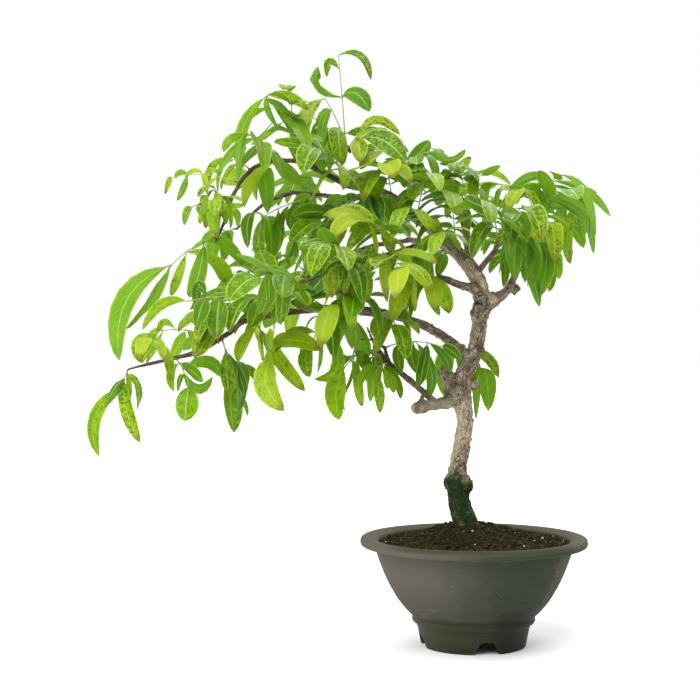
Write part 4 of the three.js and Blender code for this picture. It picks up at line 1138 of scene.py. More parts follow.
def select_faces(piece, chosen):
    take(piece)
    bpy.ops.object.mode_set(mode="EDIT")
    bpy.ops.mesh.select_mode(type="FACE")
    bpy.ops.mesh.select_all(action="DESELECT")
    bpy.ops.object.mode_set(mode="OBJECT")
    piece.data.polygons.foreach_set("select", chosen)
    bpy.ops.object.mode_set(mode="EDIT")


radius = radius_at(points_of(wood.data), normals_of(wood.data), edges_of(wood.data))
thick = [bool(radius[list(face.vertices)].mean() > THICK_WOOD) for face in wood.data.polygons]
select_faces(wood, thick)
bpy.ops.mesh.subdivide(number_cuts=1, smoothness=0)
bpy.ops.object.mode_set(mode="OBJECT")
apply_modifier(wood, "SMOOTH", factor=0.4, iterations=2)
wood_edges = edges_of(wood.data)
skin, outwards = points_of(wood.data), normals_of(wood.data)
radius = radius_at(skin, outwards, wood_edges)
triangles = sum(len(face.vertices) - 2 for face in wood.data.polygons)
print("wood triangles", triangles, "faces split", sum(thick))

# %% [markdown]
# Bark runs along the wood, so it needs to know which way each limb goes. A UV map would have to be cut
# open along every limb. Instead the way from the trunk's foot to each point, measured over the skin, grows
# along every limb, and the direction in which it grows is the limb's own.

# %% Find the run of the grain
AWAY_FROM_GRAIN = np.array([0.1, 1.0, 0.15])


def way_from(start, points, edges):
    """How far each point is from the start, going along the skin's edges."""
    near = [[] for _ in points]
    lengths = np.linalg.norm(points[edges[:, 0]] - points[edges[:, 1]], axis=1)
    for (one, other), length in zip(edges.tolist(), lengths.tolist()):
        near[one].append((other, length))
        near[other].append((one, length))
    way = [math.inf] * len(points)
    way[start] = 0.0
    queue = [(0.0, start)]
    while queue:
        far, here = heapq.heappop(queue)
        if far > way[here]:
            continue
        for there, length in near[here]:
            if far + length < way[there]:
                way[there] = far + length
                heapq.heappush(queue, (far + length, there))
    return np.array(way)


def rise_of(values, points, edges):
    """The direction in which the values grow at each point, evened out."""
    first, second = edges.T
    steps = points[second] - points[first]
    steps = steps / np.maximum((steps ** 2).sum(axis=1, keepdims=True), 1e-12)
    steps = steps * (values[second] - values[first])[:, None]
    rise = np.stack([
        np.bincount(first, steps[:, i], len(points)) + np.bincount(second, steps[:, i], len(points))
        for i in range(3)
    ], axis=1)
    return unit(neighbour_mean(rise, edges, 40))


way = way_from(int(np.argmin(skin[:, 2])), skin, wood_edges)
way[~np.isfinite(way)] = 0
way = neighbour_mean(way, wood_edges, 6)
run = rise_of(way, skin, wood_edges)
round_normal = unit(neighbour_mean(outwards, wood_edges, 8))
first_side = unit(AWAY_FROM_GRAIN - run * (run @ AWAY_FROM_GRAIN)[:, None])
second_side = np.cross(run, first_side)
grain = np.stack([
    radius * np.einsum("ij,ij->i", round_normal, first_side),
    radius * np.einsum("ij,ij->i", round_normal, second_side),
    way,
], axis=1)
print("longest way mm", round(way.max() * 1000))

# %% [markdown]
# Some places on the wood differ from the rest: a sawn stub, a ridge of dead wood without bark, a black
# scar on the trunk's spur, a swirl of bark round an old wound, a reddish patch, and moss at the foot. Apart
# from the moss, which goes by height, each is a place as seen from the camera, put on the wood's near side
# by a ray, and it fades out round that.

# %% Mark the special places
MOSS_TOP = 157 * MM
MOSS_SLANT = 1.1
MOSS_MIDDLE = -16 * MM
SAWN_FACE = (-51.5, 207.4)
SAWN_FACING = (-0.64, -0.76, -0.12)
SCAR = (4.6, 301.0)
SWIRL = (-17, 224)
DEAD_WOOD = ((18, 303), (11, 315), (3, 327), (-4, 337))
STUB_LINE = ((-52, 208), (-38, 210.5), (-26, 213))
RED_PATCH = (-9, 175.5)


def on_wood(right, up):
    """Where the line of sight to a seen point meets the wood, or the point on the wood nearest to it."""
    eye = pot_axis + EYE
    towards = (seen(right, up) - eye).normalized()
    hit = bar_tree.ray_cast(eye, towards)[0]
    if hit is None:
        hit = bar_tree.find_nearest(seen(right, up))[0]
    return np.array(hit)


def soft(values, low, high):
    """0 at low and 1 at high, with a soft step between them."""
    share = np.clip((values - low) / (high - low), 0, 1)
    return share * share * (3 - 2 * share)


def near_place(place, reach, core=0.0):
    return soft(np.linalg.norm(skin - place, axis=1), reach, core)


def near_line(places, reach, core):
    """1 close to a line through places, and 0 out of its reach."""
    nearest = np.full(len(skin), np.inf)
    for start, end in zip(places, places[1:]):
        share = np.clip((skin - start) @ (end - start) / ((end - start) ** 2).sum(), 0, 1)
        nearest = np.minimum(nearest, np.linalg.norm(skin - start - share[:, None] * (end - start), axis=1))
    return soft(nearest, reach, core)


def fractal_at(points, size, octaves=4, shift=0.0):
    """Noise of about -1 to 1 whose lumps have a given size."""
    return np.array([
        noise.fractal(Vector(p) / size + Vector((shift, 0, 0)), 0.8, 2.0, octaves)
        for p in points.tolist()
    ])


rough = fractal_at(skin, 9 * MM)
right_of_pot = skin[:, 0] - pot_axis.x
moss_edge = MOSS_TOP - MOSS_SLANT * np.abs(right_of_pot - MOSS_MIDDLE) + 5 * MM * rough
moss = soft(skin[:, 2], moss_edge, moss_edge - 5 * MM) * (radius > 4 * MM)
sawn = near_place(on_wood(*SAWN_FACE), 8.5 * MM, 7 * MM) * soft(outwards @ np.array(SAWN_FACING), 0.45, 0.7)
scar = near_place(on_wood(*SCAR), 4.2 * MM, 2.4 * MM)
dead = near_line([on_wood(*place) for place in DEAD_WOOD], 4.6 * MM, 2.6 * MM)
worn = near_line([on_wood(*place) for place in STUB_LINE], 11 * MM, 6 * MM)
swirl_middle = on_wood(*SWIRL)
swirl = near_place(swirl_middle, 12 * MM, 5 * MM)
red = near_place(on_wood(*RED_PATCH), 9 * MM, 2 * MM)
for title, mark in (("mossy", moss), ("dead", dead), ("sawn", sawn)):
    print(title, "points", int((mark > 0.5).sum()))

# %% [markdown]
# Now the bark is carved. Ridged noise, stretched along the grain, makes furrows with sharp bottoms. Lumps
# and knots come from a slower noise and from swellings wherever a leaf grows and at some named places.
# Nearly all of it scales with how thick the wood is, so that the twigs stay nearly smooth. Sculpting by hand
# would look as good, but takes long, and code can follow the grain everywhere.

# %% Carve the bark
FURROW_WIDTH = 2.3 * MM
FURROW_STRETCH = 4.2
FURROW_DEPTH = 0.85 * MM
SWIRL_RINGS = 2.4
SWIRL_RUN = 0.7
SWIRL_SHARE = 0.75


def furrows(places, width, shift):
    stretched = places / np.array([width, width, width * FURROW_STRETCH])
    values = [
        noise.ridged_multi_fractal(Vector(p) + Vector((shift, shift, 0)), 0.9, 2.1, 3, 1.0, 1.4)
        for p in stretched.tolist()
    ]
    return np.clip(np.array(values) / 1.6, 0, 1)


wiggle = np.stack([
    fractal_at(grain, 5 * MM, 2, 3.7),
    fractal_at(grain, 5 * MM, 2, 9.1),
    np.zeros(len(grain)),
], axis=1)
wiggly = grain + wiggle * 1.1 * MM
rings = np.linalg.norm(skin - swirl_middle, axis=1)
swirled = wiggly + swirl[:, None] * (
    np.stack([rings * SWIRL_RINGS, rings * 0, -way * SWIRL_RUN], axis=1)
    - wiggly * np.array([SWIRL_SHARE, SWIRL_SHARE, 0]))
relief = 0.62 * furrows(swirled, FURROW_WIDTH, 0.0) + 0.38 * furrows(swirled, FURROW_WIDTH * 0.45, 5.0)
relief = relief * (1 - 0.75 * dead) * (1 - sawn) * (1 - 0.6 * worn)
depth = np.clip(FURROW_DEPTH * (radius / (7 * MM)) ** 0.8, 0.1 * MM, FURROW_DEPTH)
lumps = fractal_at(skin, 14 * MM, 3, 2.0) * np.minimum(0.16 * radius, 1.1 * MM) * (1 - sawn)
nodes = np.zeros(len(skin))
for arc, _ in skeletons.values():
    nodes = np.maximum(nodes, near_place(arc.start, 3.4 * MM, 0.8 * MM))
burrs = soft(fractal_at(grain / np.array([1, 1, 1.6]), 3.4 * MM, 2, 7.7), 0.42, 0.75)
burrs = burrs * (1 - dead) * (1 - sawn)
lift = depth * (relief - 0.55) * 1.5 + lumps
for (right, up), reach, height in SWELLINGS:
    lift = lift + height * MM * near_place(on_wood(right, up), reach * MM)
lift = lift + nodes * np.minimum(0.3 * radius, 0.9 * MM) + burrs * np.minimum(0.22 * radius, 1.0 * MM)
lift = lift + moss * 0.5 * MM * np.abs(fractal_at(skin, 1.6 * MM, 3, 4.0)) - scar * 0.8 * MM
lift = lift - sawn * 0.5 * MM
skin = skin + outwards * lift[:, None]
put_points(wood.data, skin)
smooth(wood, 80)
mark_points(wood.data, "grain", swirled)
mark_points(wood.data, "growth", np.stack([radius / MM, relief, moss], axis=1))
mark_points(wood.data, "wounds", np.stack([dead, scar, sawn], axis=1))
mark_points(wood.data, "tones", np.stack([red, np.maximum(nodes, burrs), worn], axis=1))
# The side that faces left, which the bark's finish paints paler as painted light.
mark_points(wood.data, "lit_left_side", np.clip(-outwards[:, 0], 0, 1))
print("lift mm", round(lift.min() * 1000, 2), round(lift.max() * 1000, 2))

# %% [markdown]
# The bark's colours follow its shape: pale worn ridges, dark brown furrows. Thin wood is redder and
# smoother. The side that faces left is painted paler as painted light, and greenish on the thick wood.
# Moss, dead wood, the scar and the sawn face lie over that, each where it was marked. The fine squiggly
# cracks are too small for the mesh, so a bump adds them.

# %% Bark


def make_bark():
    finish = Finish("bark")
    places = finish.places()
    grain_places = finish.attribute("grain")
    thickness, height, mossy = finish.parts(finish.attribute("growth"))
    dry, scarred, cut = finish.parts(finish.attribute("wounds"))
    reddish, knobs, worn_off = finish.parts(finish.attribute("tones"))
    left = finish.attribute("lit_left_side", "Fac")
    cracks = finish.noise(finish.stretched(grain_places, (760, 760, 85)), 1, 4, 0.62, 0.9)
    checks = finish.noise(finish.stretched(grain_places, (1400, 1400, 170)), 1, 3, 0.6, 0.8)
    threads = finish.noise(finish.stretched(grain_places, (1500, 1500, 160)), 1, 3, 0.6, 0.4)
    patchy = finish.noise(places, 120, 4)
    fine = finish.noise(places, 1300, 4, 0.65)
    thick = thickness.ramp(1.9, 4.6)
    up = finish.parts(places)[2]
    plain = up.ramp(158 * MM, 180 * MM) * up.ramp(224 * MM, 208 * MM)

    ridge = abs(cracks - 0.5).ramp(0.0, 0.05) * (0.6 + abs(checks - 0.5).ramp(0.0, 0.06) * 0.4)
    # Painted light: the side that faces left is made paler, on the ridges and on the crests.
    high = height * 0.35 + ridge * 0.6 + fine * 0.2 + left * 0.2 + plain * 0.14 + worn_off * 0.15
    high = high.ramp(0.34, 1.06)
    old = finish.mix(colour(58, 45, 33), colour(138, 120, 95), high)
    crests = (high * (patchy + 0.4) + left * 0.22 + plain * 0.1).ramp(0.58, 1.0)
    old = finish.mix(old, colour(204, 190, 164), crests * 0.9)
    stringy = (threads * 0.7 + high * 0.5).ramp(0.3, 0.85)
    young = finish.mix(colour(56, 43, 35), colour(108, 88, 70), stringy)
    young = finish.mix(young, colour(154, 138, 120), (patchy * threads).ramp(0.24, 0.38) * 0.65)
    coat = finish.mix(young, old, thick)
    # The left side of the thick wood is painted paler and greenish: partly painted light, partly a pale
    # tint.
    lit_and_bleached = (left * thick * patchy).ramp(0.2, 0.6) * (1 - mossy)
    coat = finish.mix(coat, colour(176, 170, 122), lit_and_bleached * 0.45)
    coat = finish.mix(coat, colour(112, 66, 44), reddish * (threads + 0.1).ramp(0.45, 0.75) * 0.6)
    coat = finish.mix(coat, colour(74, 54, 42), knobs * (fine + 0.2).ramp(0.4, 0.8) * 0.5)
    worn_pale = (threads * 0.6 + patchy * 0.6).ramp(0.4, 0.8)
    stub = finish.mix(colour(110, 96, 78), colour(182, 168, 142), worn_pale)
    coat = finish.mix(coat, stub, worn_off * 0.7)
    bare = finish.mix(colour(128, 106, 84), colour(214, 192, 162), threads.ramp(0.3, 0.62))
    coat = finish.mix(coat, bare, dry * 0.92)
    sawdust = (fine * 0.7 + checks * 0.5).ramp(0.45, 0.75)
    rings = finish.mix(colour(62, 44, 28), colour(170, 144, 100), sawdust)
    coat = finish.mix(coat, rings, cut)
    coat = finish.mix(coat, colour(20, 18, 17), scarred)
    fluff = finish.noise(places, 480, 5, 0.7)
    green = finish.mix(colour(9, 24, 12), colour(40, 66, 24), (fluff + patchy * 0.3).ramp(0.42, 0.8))
    green = finish.mix(green, colour(128, 138, 52), (patchy + fluff * 0.4).ramp(0.74, 0.94) * 0.8)
    bark_through = (fine * 0.5 + high * 0.5 + patchy * 0.3).ramp(0.86, 1.05)
    green = finish.mix(green, colour(150, 140, 104), bark_through * 0.6)
    coat = finish.mix(coat, green, mossy * (fluff + 0.55).ramp(0.7, 0.9))

    relief = ridge * 0.8 + threads * 0.35 + fine * 0.25 + mossy * fluff * 0.9
    shader = finish.surface(
        base_color=coat,
        roughness=0.85 - dry * 0.15 + fine * 0.1,
        specular=0.28,
        normal=finish.bump(relief, 0.55 * MM, 0.85),
    )
    return finish.done(shader)


finish_piece(wood, make_bark(), "bark", "trunk_and_branches")

# %% [markdown]
# One leaflet is modelled flat: a grid drawn in to a long oval with a blunt tip and a short narrow
# stalklet. Solidify would give it a thick rim, but a leaf thins out to nothing at its margin. So the grid is
# extruded to an underside, whose border goes back up to the upper side's and is merged with it. The midrib
# stands out below.

# %% Model one leaflet
LEAFLET_COLUMNS = 4
LEAFLET_ROWS = (
    (0, 0.07), (0.05, 0.07), (0.11, 0.36), (0.2, 0.65), (0.32, 0.87), (0.46, 0.99),
    (0.6, 1), (0.73, 0.93), (0.85, 0.74), (0.94, 0.46), (1, 0.05))
BLADE_THICK = 0.16 * MM
MIDRIB_THICK = 0.5 * MM
STALKLET_THICK = 0.75 * MM


def make_leaflet():
    """Across goes from -1 to 1, along is the row's number, and the underside lies below 0."""
    last = len(LEAFLET_ROWS) - 1
    bpy.ops.object.select_all(action="DESELECT")
    bpy.ops.mesh.primitive_grid_add(
        x_subdivisions=LEAFLET_COLUMNS, y_subdivisions=last, size=2, calc_uvs=False)
    piece = name_piece("leaflet")
    bpy.ops.object.mode_set(mode="EDIT")
    bpy.ops.mesh.select_all(action="SELECT")
    bpy.ops.mesh.extrude_region_move(TRANSFORM_OT_translate={"value": (0, 0, -1)})
    bpy.ops.object.mode_set(mode="OBJECT")
    points = points_of(piece.data)
    border = (np.abs(points[:, 0]) > 0.99) | (np.abs(points[:, 1]) > 0.99)
    points[border, 2] = 0
    points[:, 1] = np.rint((points[:, 1] + 1) / 2 * last)
    put_points(piece.data, points)
    bpy.ops.object.mode_set(mode="EDIT")
    bpy.ops.mesh.select_all(action="SELECT")
    bpy.ops.mesh.remove_doubles(threshold=0.01)
    bpy.ops.mesh.normals_make_consistent(inside=False)
    bpy.ops.object.mode_set(mode="OBJECT")
    return piece


leaflet = make_leaflet()
leaflet_points = points_of(leaflet.data)
leaflet_faces = [tuple(face.vertices) for face in leaflet.data.polygons]
bpy.data.objects.remove(leaflet)
print("leaflet faces", len(leaflet_faces), "points", len(leaflet_points))

# %% [markdown]
# Each leaflet of the tree is that pattern bent along its own midrib. Chance gives it a fold, a wave along
# its margin, a twist and a width, because leaflets that are all alike look like plastic. Three numbers go
# with it for the finish: its tint, how yellow it is, and a seed for its spots.

# %% Bend a leaflet into place
ROW_PLACES = np.array([place for place, _ in LEAFLET_ROWS])
ROW_WIDTHS = np.array([width for _, width in LEAFLET_ROWS])


def clip(value, low=0.0, high=1.0):
    return min(high, max(low, value))


def bent_leaflet(blade, tint, age):
    """Points, faces and marks of a leaflet. Age goes from 0, just out, to 1, old."""
    midrib, width = blade.midrib, blade.width
    row = leaflet_points[:, 1].astype(int)
    across, below = leaflet_points[:, 0], -leaflet_points[:, 2]
    t = ROW_PLACES[row]
    fold = math.radians(chance.uniform(4, 34))
    twist = math.radians(chance.normal(0, 14))
    wave, phase, turns = chance.uniform(0.03, 0.12), chance.uniform(0, 6.28), chance.uniform(1.1, 2.0)
    lean = chance.normal(0, 0.08)
    taper = 1 - chance.uniform(0, 0.15) * soft(t, 0.5, 1)
    half = width / 2 * chance.uniform(0.82, 1.16) * ROW_WIDTHS[row] * taper
    half = half * (1 + 0.08 * chance.normal() * np.sign(across))

    headings = midrib.heading(t)
    sideways = blade.across(headings)
    upwards = np.cross(sideways, headings)
    angle = (twist * t)[:, None]
    sideways, upwards = (
        sideways * np.cos(angle) + upwards * np.sin(angle),
        upwards * np.cos(angle) - sideways * np.sin(angle),
    )
    rim = np.abs(across)
    lift = rim * math.sin(fold) - 0.2 * rim ** 2
    lift = lift + wave * rim * np.sin(turns * 2 * math.pi * t + phase + across)
    stalklet = np.clip((0.12 - t) / 0.07, 0, 1)
    thick = BLADE_THICK + MIDRIB_THICK * (rim < 0.1) * (1 - 0.75 * t) + STALKLET_THICK * stalklet
    curl = lean * width * t * t * 2
    points = midrib.at(t)
    points += sideways * (across * half * math.cos(fold) + curl)[:, None]
    points += upwards * (lift * half - below * thick)[:, None]
    look = [clip(tint + chance.normal(0, 0.2)), clip(age + chance.normal(0, 0.14)), chance.random()]
    marks = {
        "blade": np.stack([across, t, below], axis=1),
        "look": np.tile(look, (len(t), 1)),
    }
    return points, leaflet_faces, marks


# %% [markdown]
# The stalk is a thin six-sided rod, pulled out of a circle ring by ring. It is thickest at its foot, where
# a joint swells, and a little thicker again at each pair of leaflets. Its foot goes on a little, to reach
# into the bark.

# %% Model the stalk
STALK_STEPS = 22
STALK_SIDES = 6
STALK_RADIUS = 0.5 * MM
STALK_INTO_BARK = 2.0 * MM


def make_stalk():
    bpy.ops.object.select_all(action="DESELECT")
    bpy.ops.mesh.primitive_circle_add(vertices=STALK_SIDES, radius=1, fill_type="NGON")
    piece = name_piece("stalk")
    bpy.ops.object.mode_set(mode="EDIT")
    bpy.ops.mesh.select_all(action="SELECT")
    for _ in range(STALK_STEPS):
        bpy.ops.mesh.extrude_region_move(TRANSFORM_OT_translate={"value": (0, 0, 1)})
    bpy.ops.mesh.select_all(action="SELECT")
    bpy.ops.mesh.normals_make_consistent(inside=False)
    bpy.ops.object.mode_set(mode="OBJECT")
    return piece


stalk = make_stalk()
stalk_points = points_of(stalk.data)
stalk_faces = [tuple(face.vertices) for face in stalk.data.polygons]
bpy.data.objects.remove(stalk)


def bent_stalk(arc, knots):
    """The stalk along its curve, with a knot wherever leaflets grow."""
    first = -STALK_INTO_BARK / arc.length
    t = first + (1 - first) * stalk_points[:, 2] / STALK_STEPS
    headings = arc.heading(t)
    sideways = across_from(headings, np.array([0.31, -0.2, 0.93]))
    upwards = np.cross(headings, sideways)
    away = t * arc.length
    swelling = 0.75 * np.exp(-(away / (2.2 * MM)) ** 2)
    for knot in knots:
        swelling = np.maximum(swelling, 0.45 * np.exp(-((t - knot) * arc.length / (0.9 * MM)) ** 2))
    radius = STALK_RADIUS * (1.1 - 0.35 * np.clip(t, 0, 1) + swelling)
    points = arc.at(t)
    points += sideways * (stalk_points[:, 0] * radius)[:, None]
    points += upwards * (stalk_points[:, 1] * radius)[:, None]
    marks = {
        "blade": np.stack([swelling, t, np.zeros(len(t))], axis=1),
        "look": np.tile([chance.random(), 0.5, chance.random()], (len(t), 1)),
    }
    return points, stalk_faces, marks


print("stalk faces", len(stalk_faces))

# %% [markdown]
# A leaf's surface is two finishes. The blade is mid green with yellow-green mottling between its side
# veins, a pale midrib and a pale margin, and it is paler and duller below. Light also shines through it,
# which a Translucent shader adds. The stalk is yellow-green, and reddish brown where it swells.

# %% Leaf finishes
VEINS = 8
VEIN_SLANT = 1.9


def make_blade():
    finish = Finish("leaf_blade")
    places = finish.places()
    across, along, below = finish.parts(finish.attribute("blade"))
    tint, age, seed = finish.parts(finish.attribute("look"))
    rim = abs(across)
    under = below.ramp(0.02, 0.08)
    patchy = finish.noise(places, 170, 5, 0.62)
    spotty = finish.noise(places, 480, 3, 0.6)
    fine = finish.noise(places, 1500, 3)
    broad = finish.noise(places, 30, 2)
    freckled = finish.cells(places, 420)
    ageing = age + (patchy - 0.5) * 0.9 + (seed - 0.5) * 0.3

    slanted = along * VEINS - rim * VEIN_SLANT * (1.2 - along)
    vein = abs(slanted.math("FRACT") - 0.5).ramp(0.1, 0.0) * (1 - rim.ramp(0.5, 0.9))
    midrib = rim.ramp(0.11, 0.02)
    margin = rim.ramp(0.8, 0.97)
    pale = (midrib * 0.85).math("MAXIMUM", margin * 0.75)

    base = finish.mix(colour(22, 68, 8), colour(72, 128, 3), (tint * 0.8 + broad * 0.4).ramp(0.2, 0.9))
    base = finish.mix(base, colour(140, 180, 8), (tint * 0.8 + patchy * 0.7).ramp(0.78, 1.2) * 0.7)
    base = finish.mix(base, colour(18, 56, 16), (patchy + (seed - 0.5) * 0.45).ramp(0.52, 0.66) * 0.7)
    base = finish.mix(base, colour(180, 196, 22), (spotty + ageing * 0.45).ramp(0.62, 0.8) * 0.78)
    base = finish.mix(base, colour(186, 186, 28), (spotty * 0.6 + ageing).ramp(1.05, 1.36) * 0.65)
    base = finish.mix(base, colour(142, 178, 64), vein * 0.3)
    base = finish.mix(base, colour(178, 202, 84), pale)
    specks = freckled.ramp(0.16, 0.07) * (ageing + fine * 0.4).ramp(0.72, 0.95)
    near_tip = (along + fine * 0.16 + patchy * 0.12).ramp(0.98, 1.1)
    scorch = near_tip * (seed * 0.6 + age * 0.6).ramp(0.5, 0.62)
    base = finish.mix(base, colour(122, 78, 36), specks.math("MAXIMUM", scorch) * 0.85)
    lighter = (broad * 0.7 + vein * 0.3 + tint * 0.4).ramp(0.3, 0.9)
    lower = finish.mix(colour(58, 112, 24), colour(112, 158, 46), lighter)
    lower = finish.mix(lower, colour(168, 196, 110), pale * 0.8)
    coat = finish.mix(base, lower, under * 0.85)

    relief = vein * -0.5 + midrib * -0.7 + patchy * 0.6 + fine * 0.2
    shader = finish.surface(
        base_color=coat,
        roughness=0.36 + under * 0.3 + (patchy - 0.5) * 0.3 + age * 0.12,
        specular=0.26,
        normal=finish.bump(relief, 0.25 * MM, 0.7),
    )
    glow = finish.node("ShaderNodeBsdfTranslucent", None, {"Color": (0.54, 0.8, 0.005, 1)})
    shares = {0: 0.44 - pale * 0.1 - specks * 0.25, 1: shader, 2: Value(finish, glow.outputs[0])}
    return finish.done(Value(finish, finish.node("ShaderNodeMixShader", None, shares).outputs[0]))


def make_stalk_finish():
    finish = Finish("leaf_stalk")
    places = finish.places()
    swelling, along, _ = finish.parts(finish.attribute("blade"))
    tint, _, _ = finish.parts(finish.attribute("look"))
    fine = finish.noise(places, 700, 3)
    coat = finish.mix(colour(118, 140, 56), colour(158, 170, 84), (fine + tint * 0.4).ramp(0.3, 0.9))
    reddish = (swelling + (0.25 - along) * 0.8 + fine * 0.3).ramp(0.2, 0.6)
    coat = finish.mix(coat, colour(124, 82, 46), reddish)
    relief = finish.bump(fine, 0.1 * MM, 0.6)
    return finish.done(finish.surface(base_color=coat, roughness=0.5 + fine * 0.1, normal=relief))


blade_finish = make_blade()
stalk_finish = make_stalk_finish()

# %% [markdown]
# Each leaf of the solid model now gets its own piece, one mesh with two materials. The shares of the stalk
# where leaflets sit are looked up first, so that the knots come where the leaflets are.

# %% Grow the leaves
SAMPLES = np.linspace(0, 1, 120)


def nearest_share(arc, place):
    return SAMPLES[np.argmin(np.linalg.norm(arc.at(SAMPLES) - place, axis=1))]


def grow_leaf(name, arc, leaflets, *nodes):
    knots = [nearest_share(arc, blade.midrib.start) for blade in leaflets]
    tint, age = chance.random(), chance.uniform(0.0, 0.7)
    parts = [bent_stalk(arc, knots)]
    parts += [bent_leaflet(blade, tint, age) for blade in leaflets]
    piece = piece_from(name, [(points, faces) for points, faces, _ in parts])
    for mark in ("blade", "look"):
        mark_points(piece.data, mark, np.concatenate([marks[mark] for _, _, marks in parts]))
    smooth(piece, 70)
    finish_piece(piece, blade_finish, "foliage", *nodes)
    piece.data.materials.append(stalk_finish)
    kinds = np.zeros(len(piece.data.polygons), dtype=np.int32)
    kinds[:len(stalk_faces)] = 1
    piece.data.polygons.foreach_set("material_index", kinds)


for node in leaf_nodes:
    grow_leaf("foliage_" + node[-2:], *skeletons[node], node)
print("leaf pieces", len(leaf_nodes))

# %% [markdown]
# A real crown is denser than the solid model, which left out each leaflet that had no room. More leaves
# fill it. Each has a foot on the bark and an end, both as seen from the camera with a depth, and its
# leaflets grow in pairs that lean outwards from the crown's middle and hang.

# %% Fill the crown
CROWN_MIDDLE_DEPTH = 55 * MM
CROWN_DEPTH = 50 * MM
MORE_LEAVES = (
    ((-158, 426, -22), (-161, 486, -40), 3, 36, 30),
    ((-109, 435, 26), (-142, 464, 10), 2, 38, 55),
    ((-43, 406, 40), (-78, 434, -10), 4, 36, 25),
    ((-56, 379, 18), (-43, 434, 0), 3, 26, 30),
    ((-9, 390, 34), (-14, 424, -10), 4, 30, 30),
    ((52, 384, 40), (41, 400, -20), 4, 36, 40),
    ((48, 366, 36), (66, 372, -30), 3, 38, 60),
    ((22, 354, -68), (56, 354, -44), 2, 44, 80),
    ((-195, 379, 58), (-184, 377, 30), 1, 38, 84),
    ((-125, 330, -88), (-109, 334, -112), 4, 36, 40),
    ((-268, 251, -50), (-285, 270, -88), 3, 30, 40),
    ((-78, 292, -27), (-69, 282, -56), 4, 36, 45),
    ((-120, 297, -40), (-108, 280, -14), 3, 38, 60),
    ((-12, 260, 1), (-21, 258, 28), 1, 40, 75),
    ((-5, 252, 4), (6, 244, 34), 1, 38, 84),
    ((-90, 258, 12), (-88, 244, -12), 3, 28, 80),
    ((-23, 321, -14), (-51, 316, 0), 3, 36, 62),
    ((-218, 375, -41), (-228, 402, -52), 3, 22, 50),
    ((-70, 392, 16), (-104, 386, -36), 5, 36, 38),
    ((-30, 360, 17), (-58, 384, -60), 4, 36, 34),
    ((-104, 393, 26), (-134, 356, 40), 4, 38, 48),
    ((-95, 338, -70), (-120, 300, -110), 4, 38, 50),
    ((-172, 291, -50), (-206, 300, -30), 4, 36, 38),
    ((-172, 291, -50), (-160, 310, -84), 4, 36, 34),
    ((-85, 352, 110), (-104, 330, 96), 4, 38, 60),
    ((-150, 330, 132), (-176, 344, 118), 3, 34, 50),
    ((-45, 352, -15), (-22, 362, -70), 4, 34, 36),
    ((-225, 268, -54), (-236, 292, -60), 4, 36, 36),
    ((48, 358, 102), (64, 350, 130), 4, 34, 50),
    ((50, 352, 78), (28, 362, 60), 4, 34, 40),
)


def new_leaflet(base, out, length, hang):
    side = unit(np.cross(out, (0, 0, 1)))
    towards = out * math.cos(hang) - np.array([0, 0, math.sin(hang)])
    midrib = Arc(base, base + out * 0.42 * length, base + towards * 0.93 * length)
    return Blade(midrib, 0.4 * length, side=side)


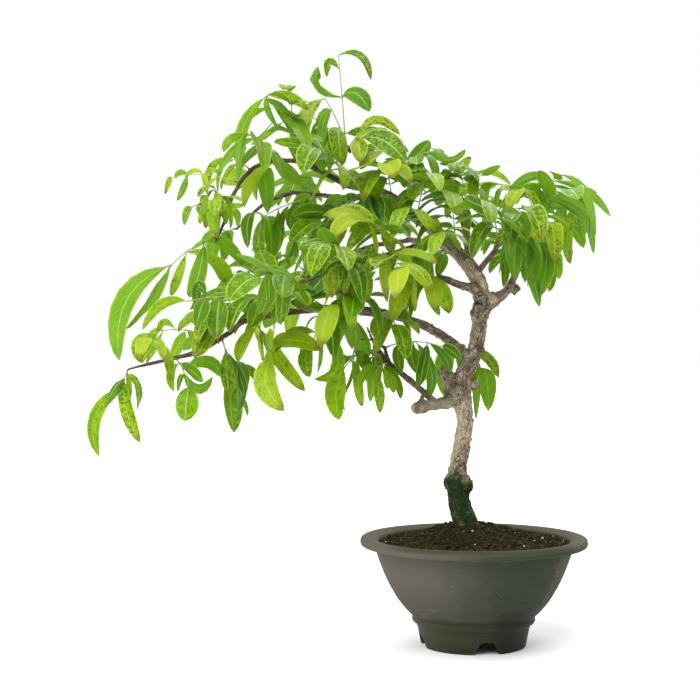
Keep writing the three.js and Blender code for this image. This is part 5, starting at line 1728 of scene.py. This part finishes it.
def new_leaf(foot, end, pairs, length, hang):
    """A stalk from the bark to its end, and leaflets in pairs along it."""
    near = seen(*foot)
    start = np.array(wood_tree.find_nearest(near)[0])
    end = np.array(seen(*end))
    middle = (start + end) / 2 + np.array([0, 0, 0.16 * np.linalg.norm(end - start)])
    arc = Arc(start, middle, end)
    ahead = unit((end - start) * (1, 1, 0.2) + np.array([0, -2 * MM, 0]))
    outwards = clip((middle[1] - pot_axis.y - CROWN_MIDDLE_DEPTH) / CROWN_DEPTH, -1, 1)
    side = unit(np.cross(ahead, (0, 1.1 * outwards, 1)))
    above = np.cross(side, ahead)
    hang = math.radians(hang)
    leaflets = [new_leaflet(end, ahead, length * MM * 1.15, hang + chance.normal(0, 0.15))]
    for i in range(pairs):
        share = 0.3 + 0.63 * i / max(pairs - 0.3, 1)
        base = arc.at([share])[0]
        for sign in (-1, 1):
            stray = chance.normal(0, 0.16, 3)
            out = unit(side * sign + ahead * (0.6 + 0.5 * share + stray[0]) + above * (0.2 + stray[1]))
            size = length * MM * chance.uniform(0.85, 1.05)
            leaflets.append(new_leaflet(base, out, size, hang + stray[2]))
    return arc, leaflets


wood_tree = tree_of(wood.data)
for number, plan in enumerate(MORE_LEAVES, 1):
    grow_leaf(f"crown_leaf_{number:02d}", *new_leaf(*plan))
print("more leaves", len(MORE_LEAVES))

# %% [markdown]
# The tree stands on a white sheet in soft light from high on the left in front, with a weaker light from
# behind that lets the leaves glow. Area lamps would leave the far floor darker, and a line would show where
# it ends, so both lights are suns with a wide, soft disc. The room shines less than it looks: what the
# camera sees of it is white, but it gives the tree only part of that light, so that there is shade.

# %% Floor, light and room
FLOOR_SIZE = 40
ROOM_LIGHT = 0.6


def sun(name, direction, width, power):
    """A lamp as far away as the sun. Its direction is where it stands as seen from the tree."""
    bpy.ops.object.light_add(type="SUN", location=Vector(direction) * 3)
    light = bpy.context.object
    light.name = name
    light.rotation_euler = Vector(direction).to_track_quat("Z", "Y").to_euler()
    light.data.angle = math.radians(width)
    light.data.energy = power


def make_floor():
    finish = Finish("white_sheet")
    broad = finish.noise(finish.places(), 3, 2)
    coat = finish.mix(colour(250, 251, 252), colour(254, 254, 254), broad)
    return finish.done(finish.surface(base_color=coat, roughness=0.9, specular=0.1))


bpy.ops.object.select_all(action="DESELECT")
bpy.ops.mesh.primitive_plane_add(size=FLOOR_SIZE, location=(0, 0, 0))
floor = name_piece("floor")
floor.data.materials.append(make_floor())

sun("key_light", (-0.6, -0.7, 1.1), 60, 3.6)
sun("back_light", (0.45, 0.9, 1.1), 50, 2.0)

room = bpy.context.scene.world or bpy.data.worlds.new("room")
bpy.context.scene.world = room
room.use_nodes = True
nodes, links = room.node_tree.nodes, room.node_tree.links
nodes["Background"].inputs["Color"].default_value = (1, 1, 1, 1)
sight = nodes.new("ShaderNodeLightPath").outputs["Is Camera Ray"]
shine = nodes.new("ShaderNodeMapRange")
shine.inputs["To Min"].default_value = ROOM_LIGHT
links.new(sight, shine.inputs["Value"])
links.new(shine.outputs["Result"], nodes["Background"].inputs["Strength"])
bpy.context.scene.view_settings.view_transform = "Standard"
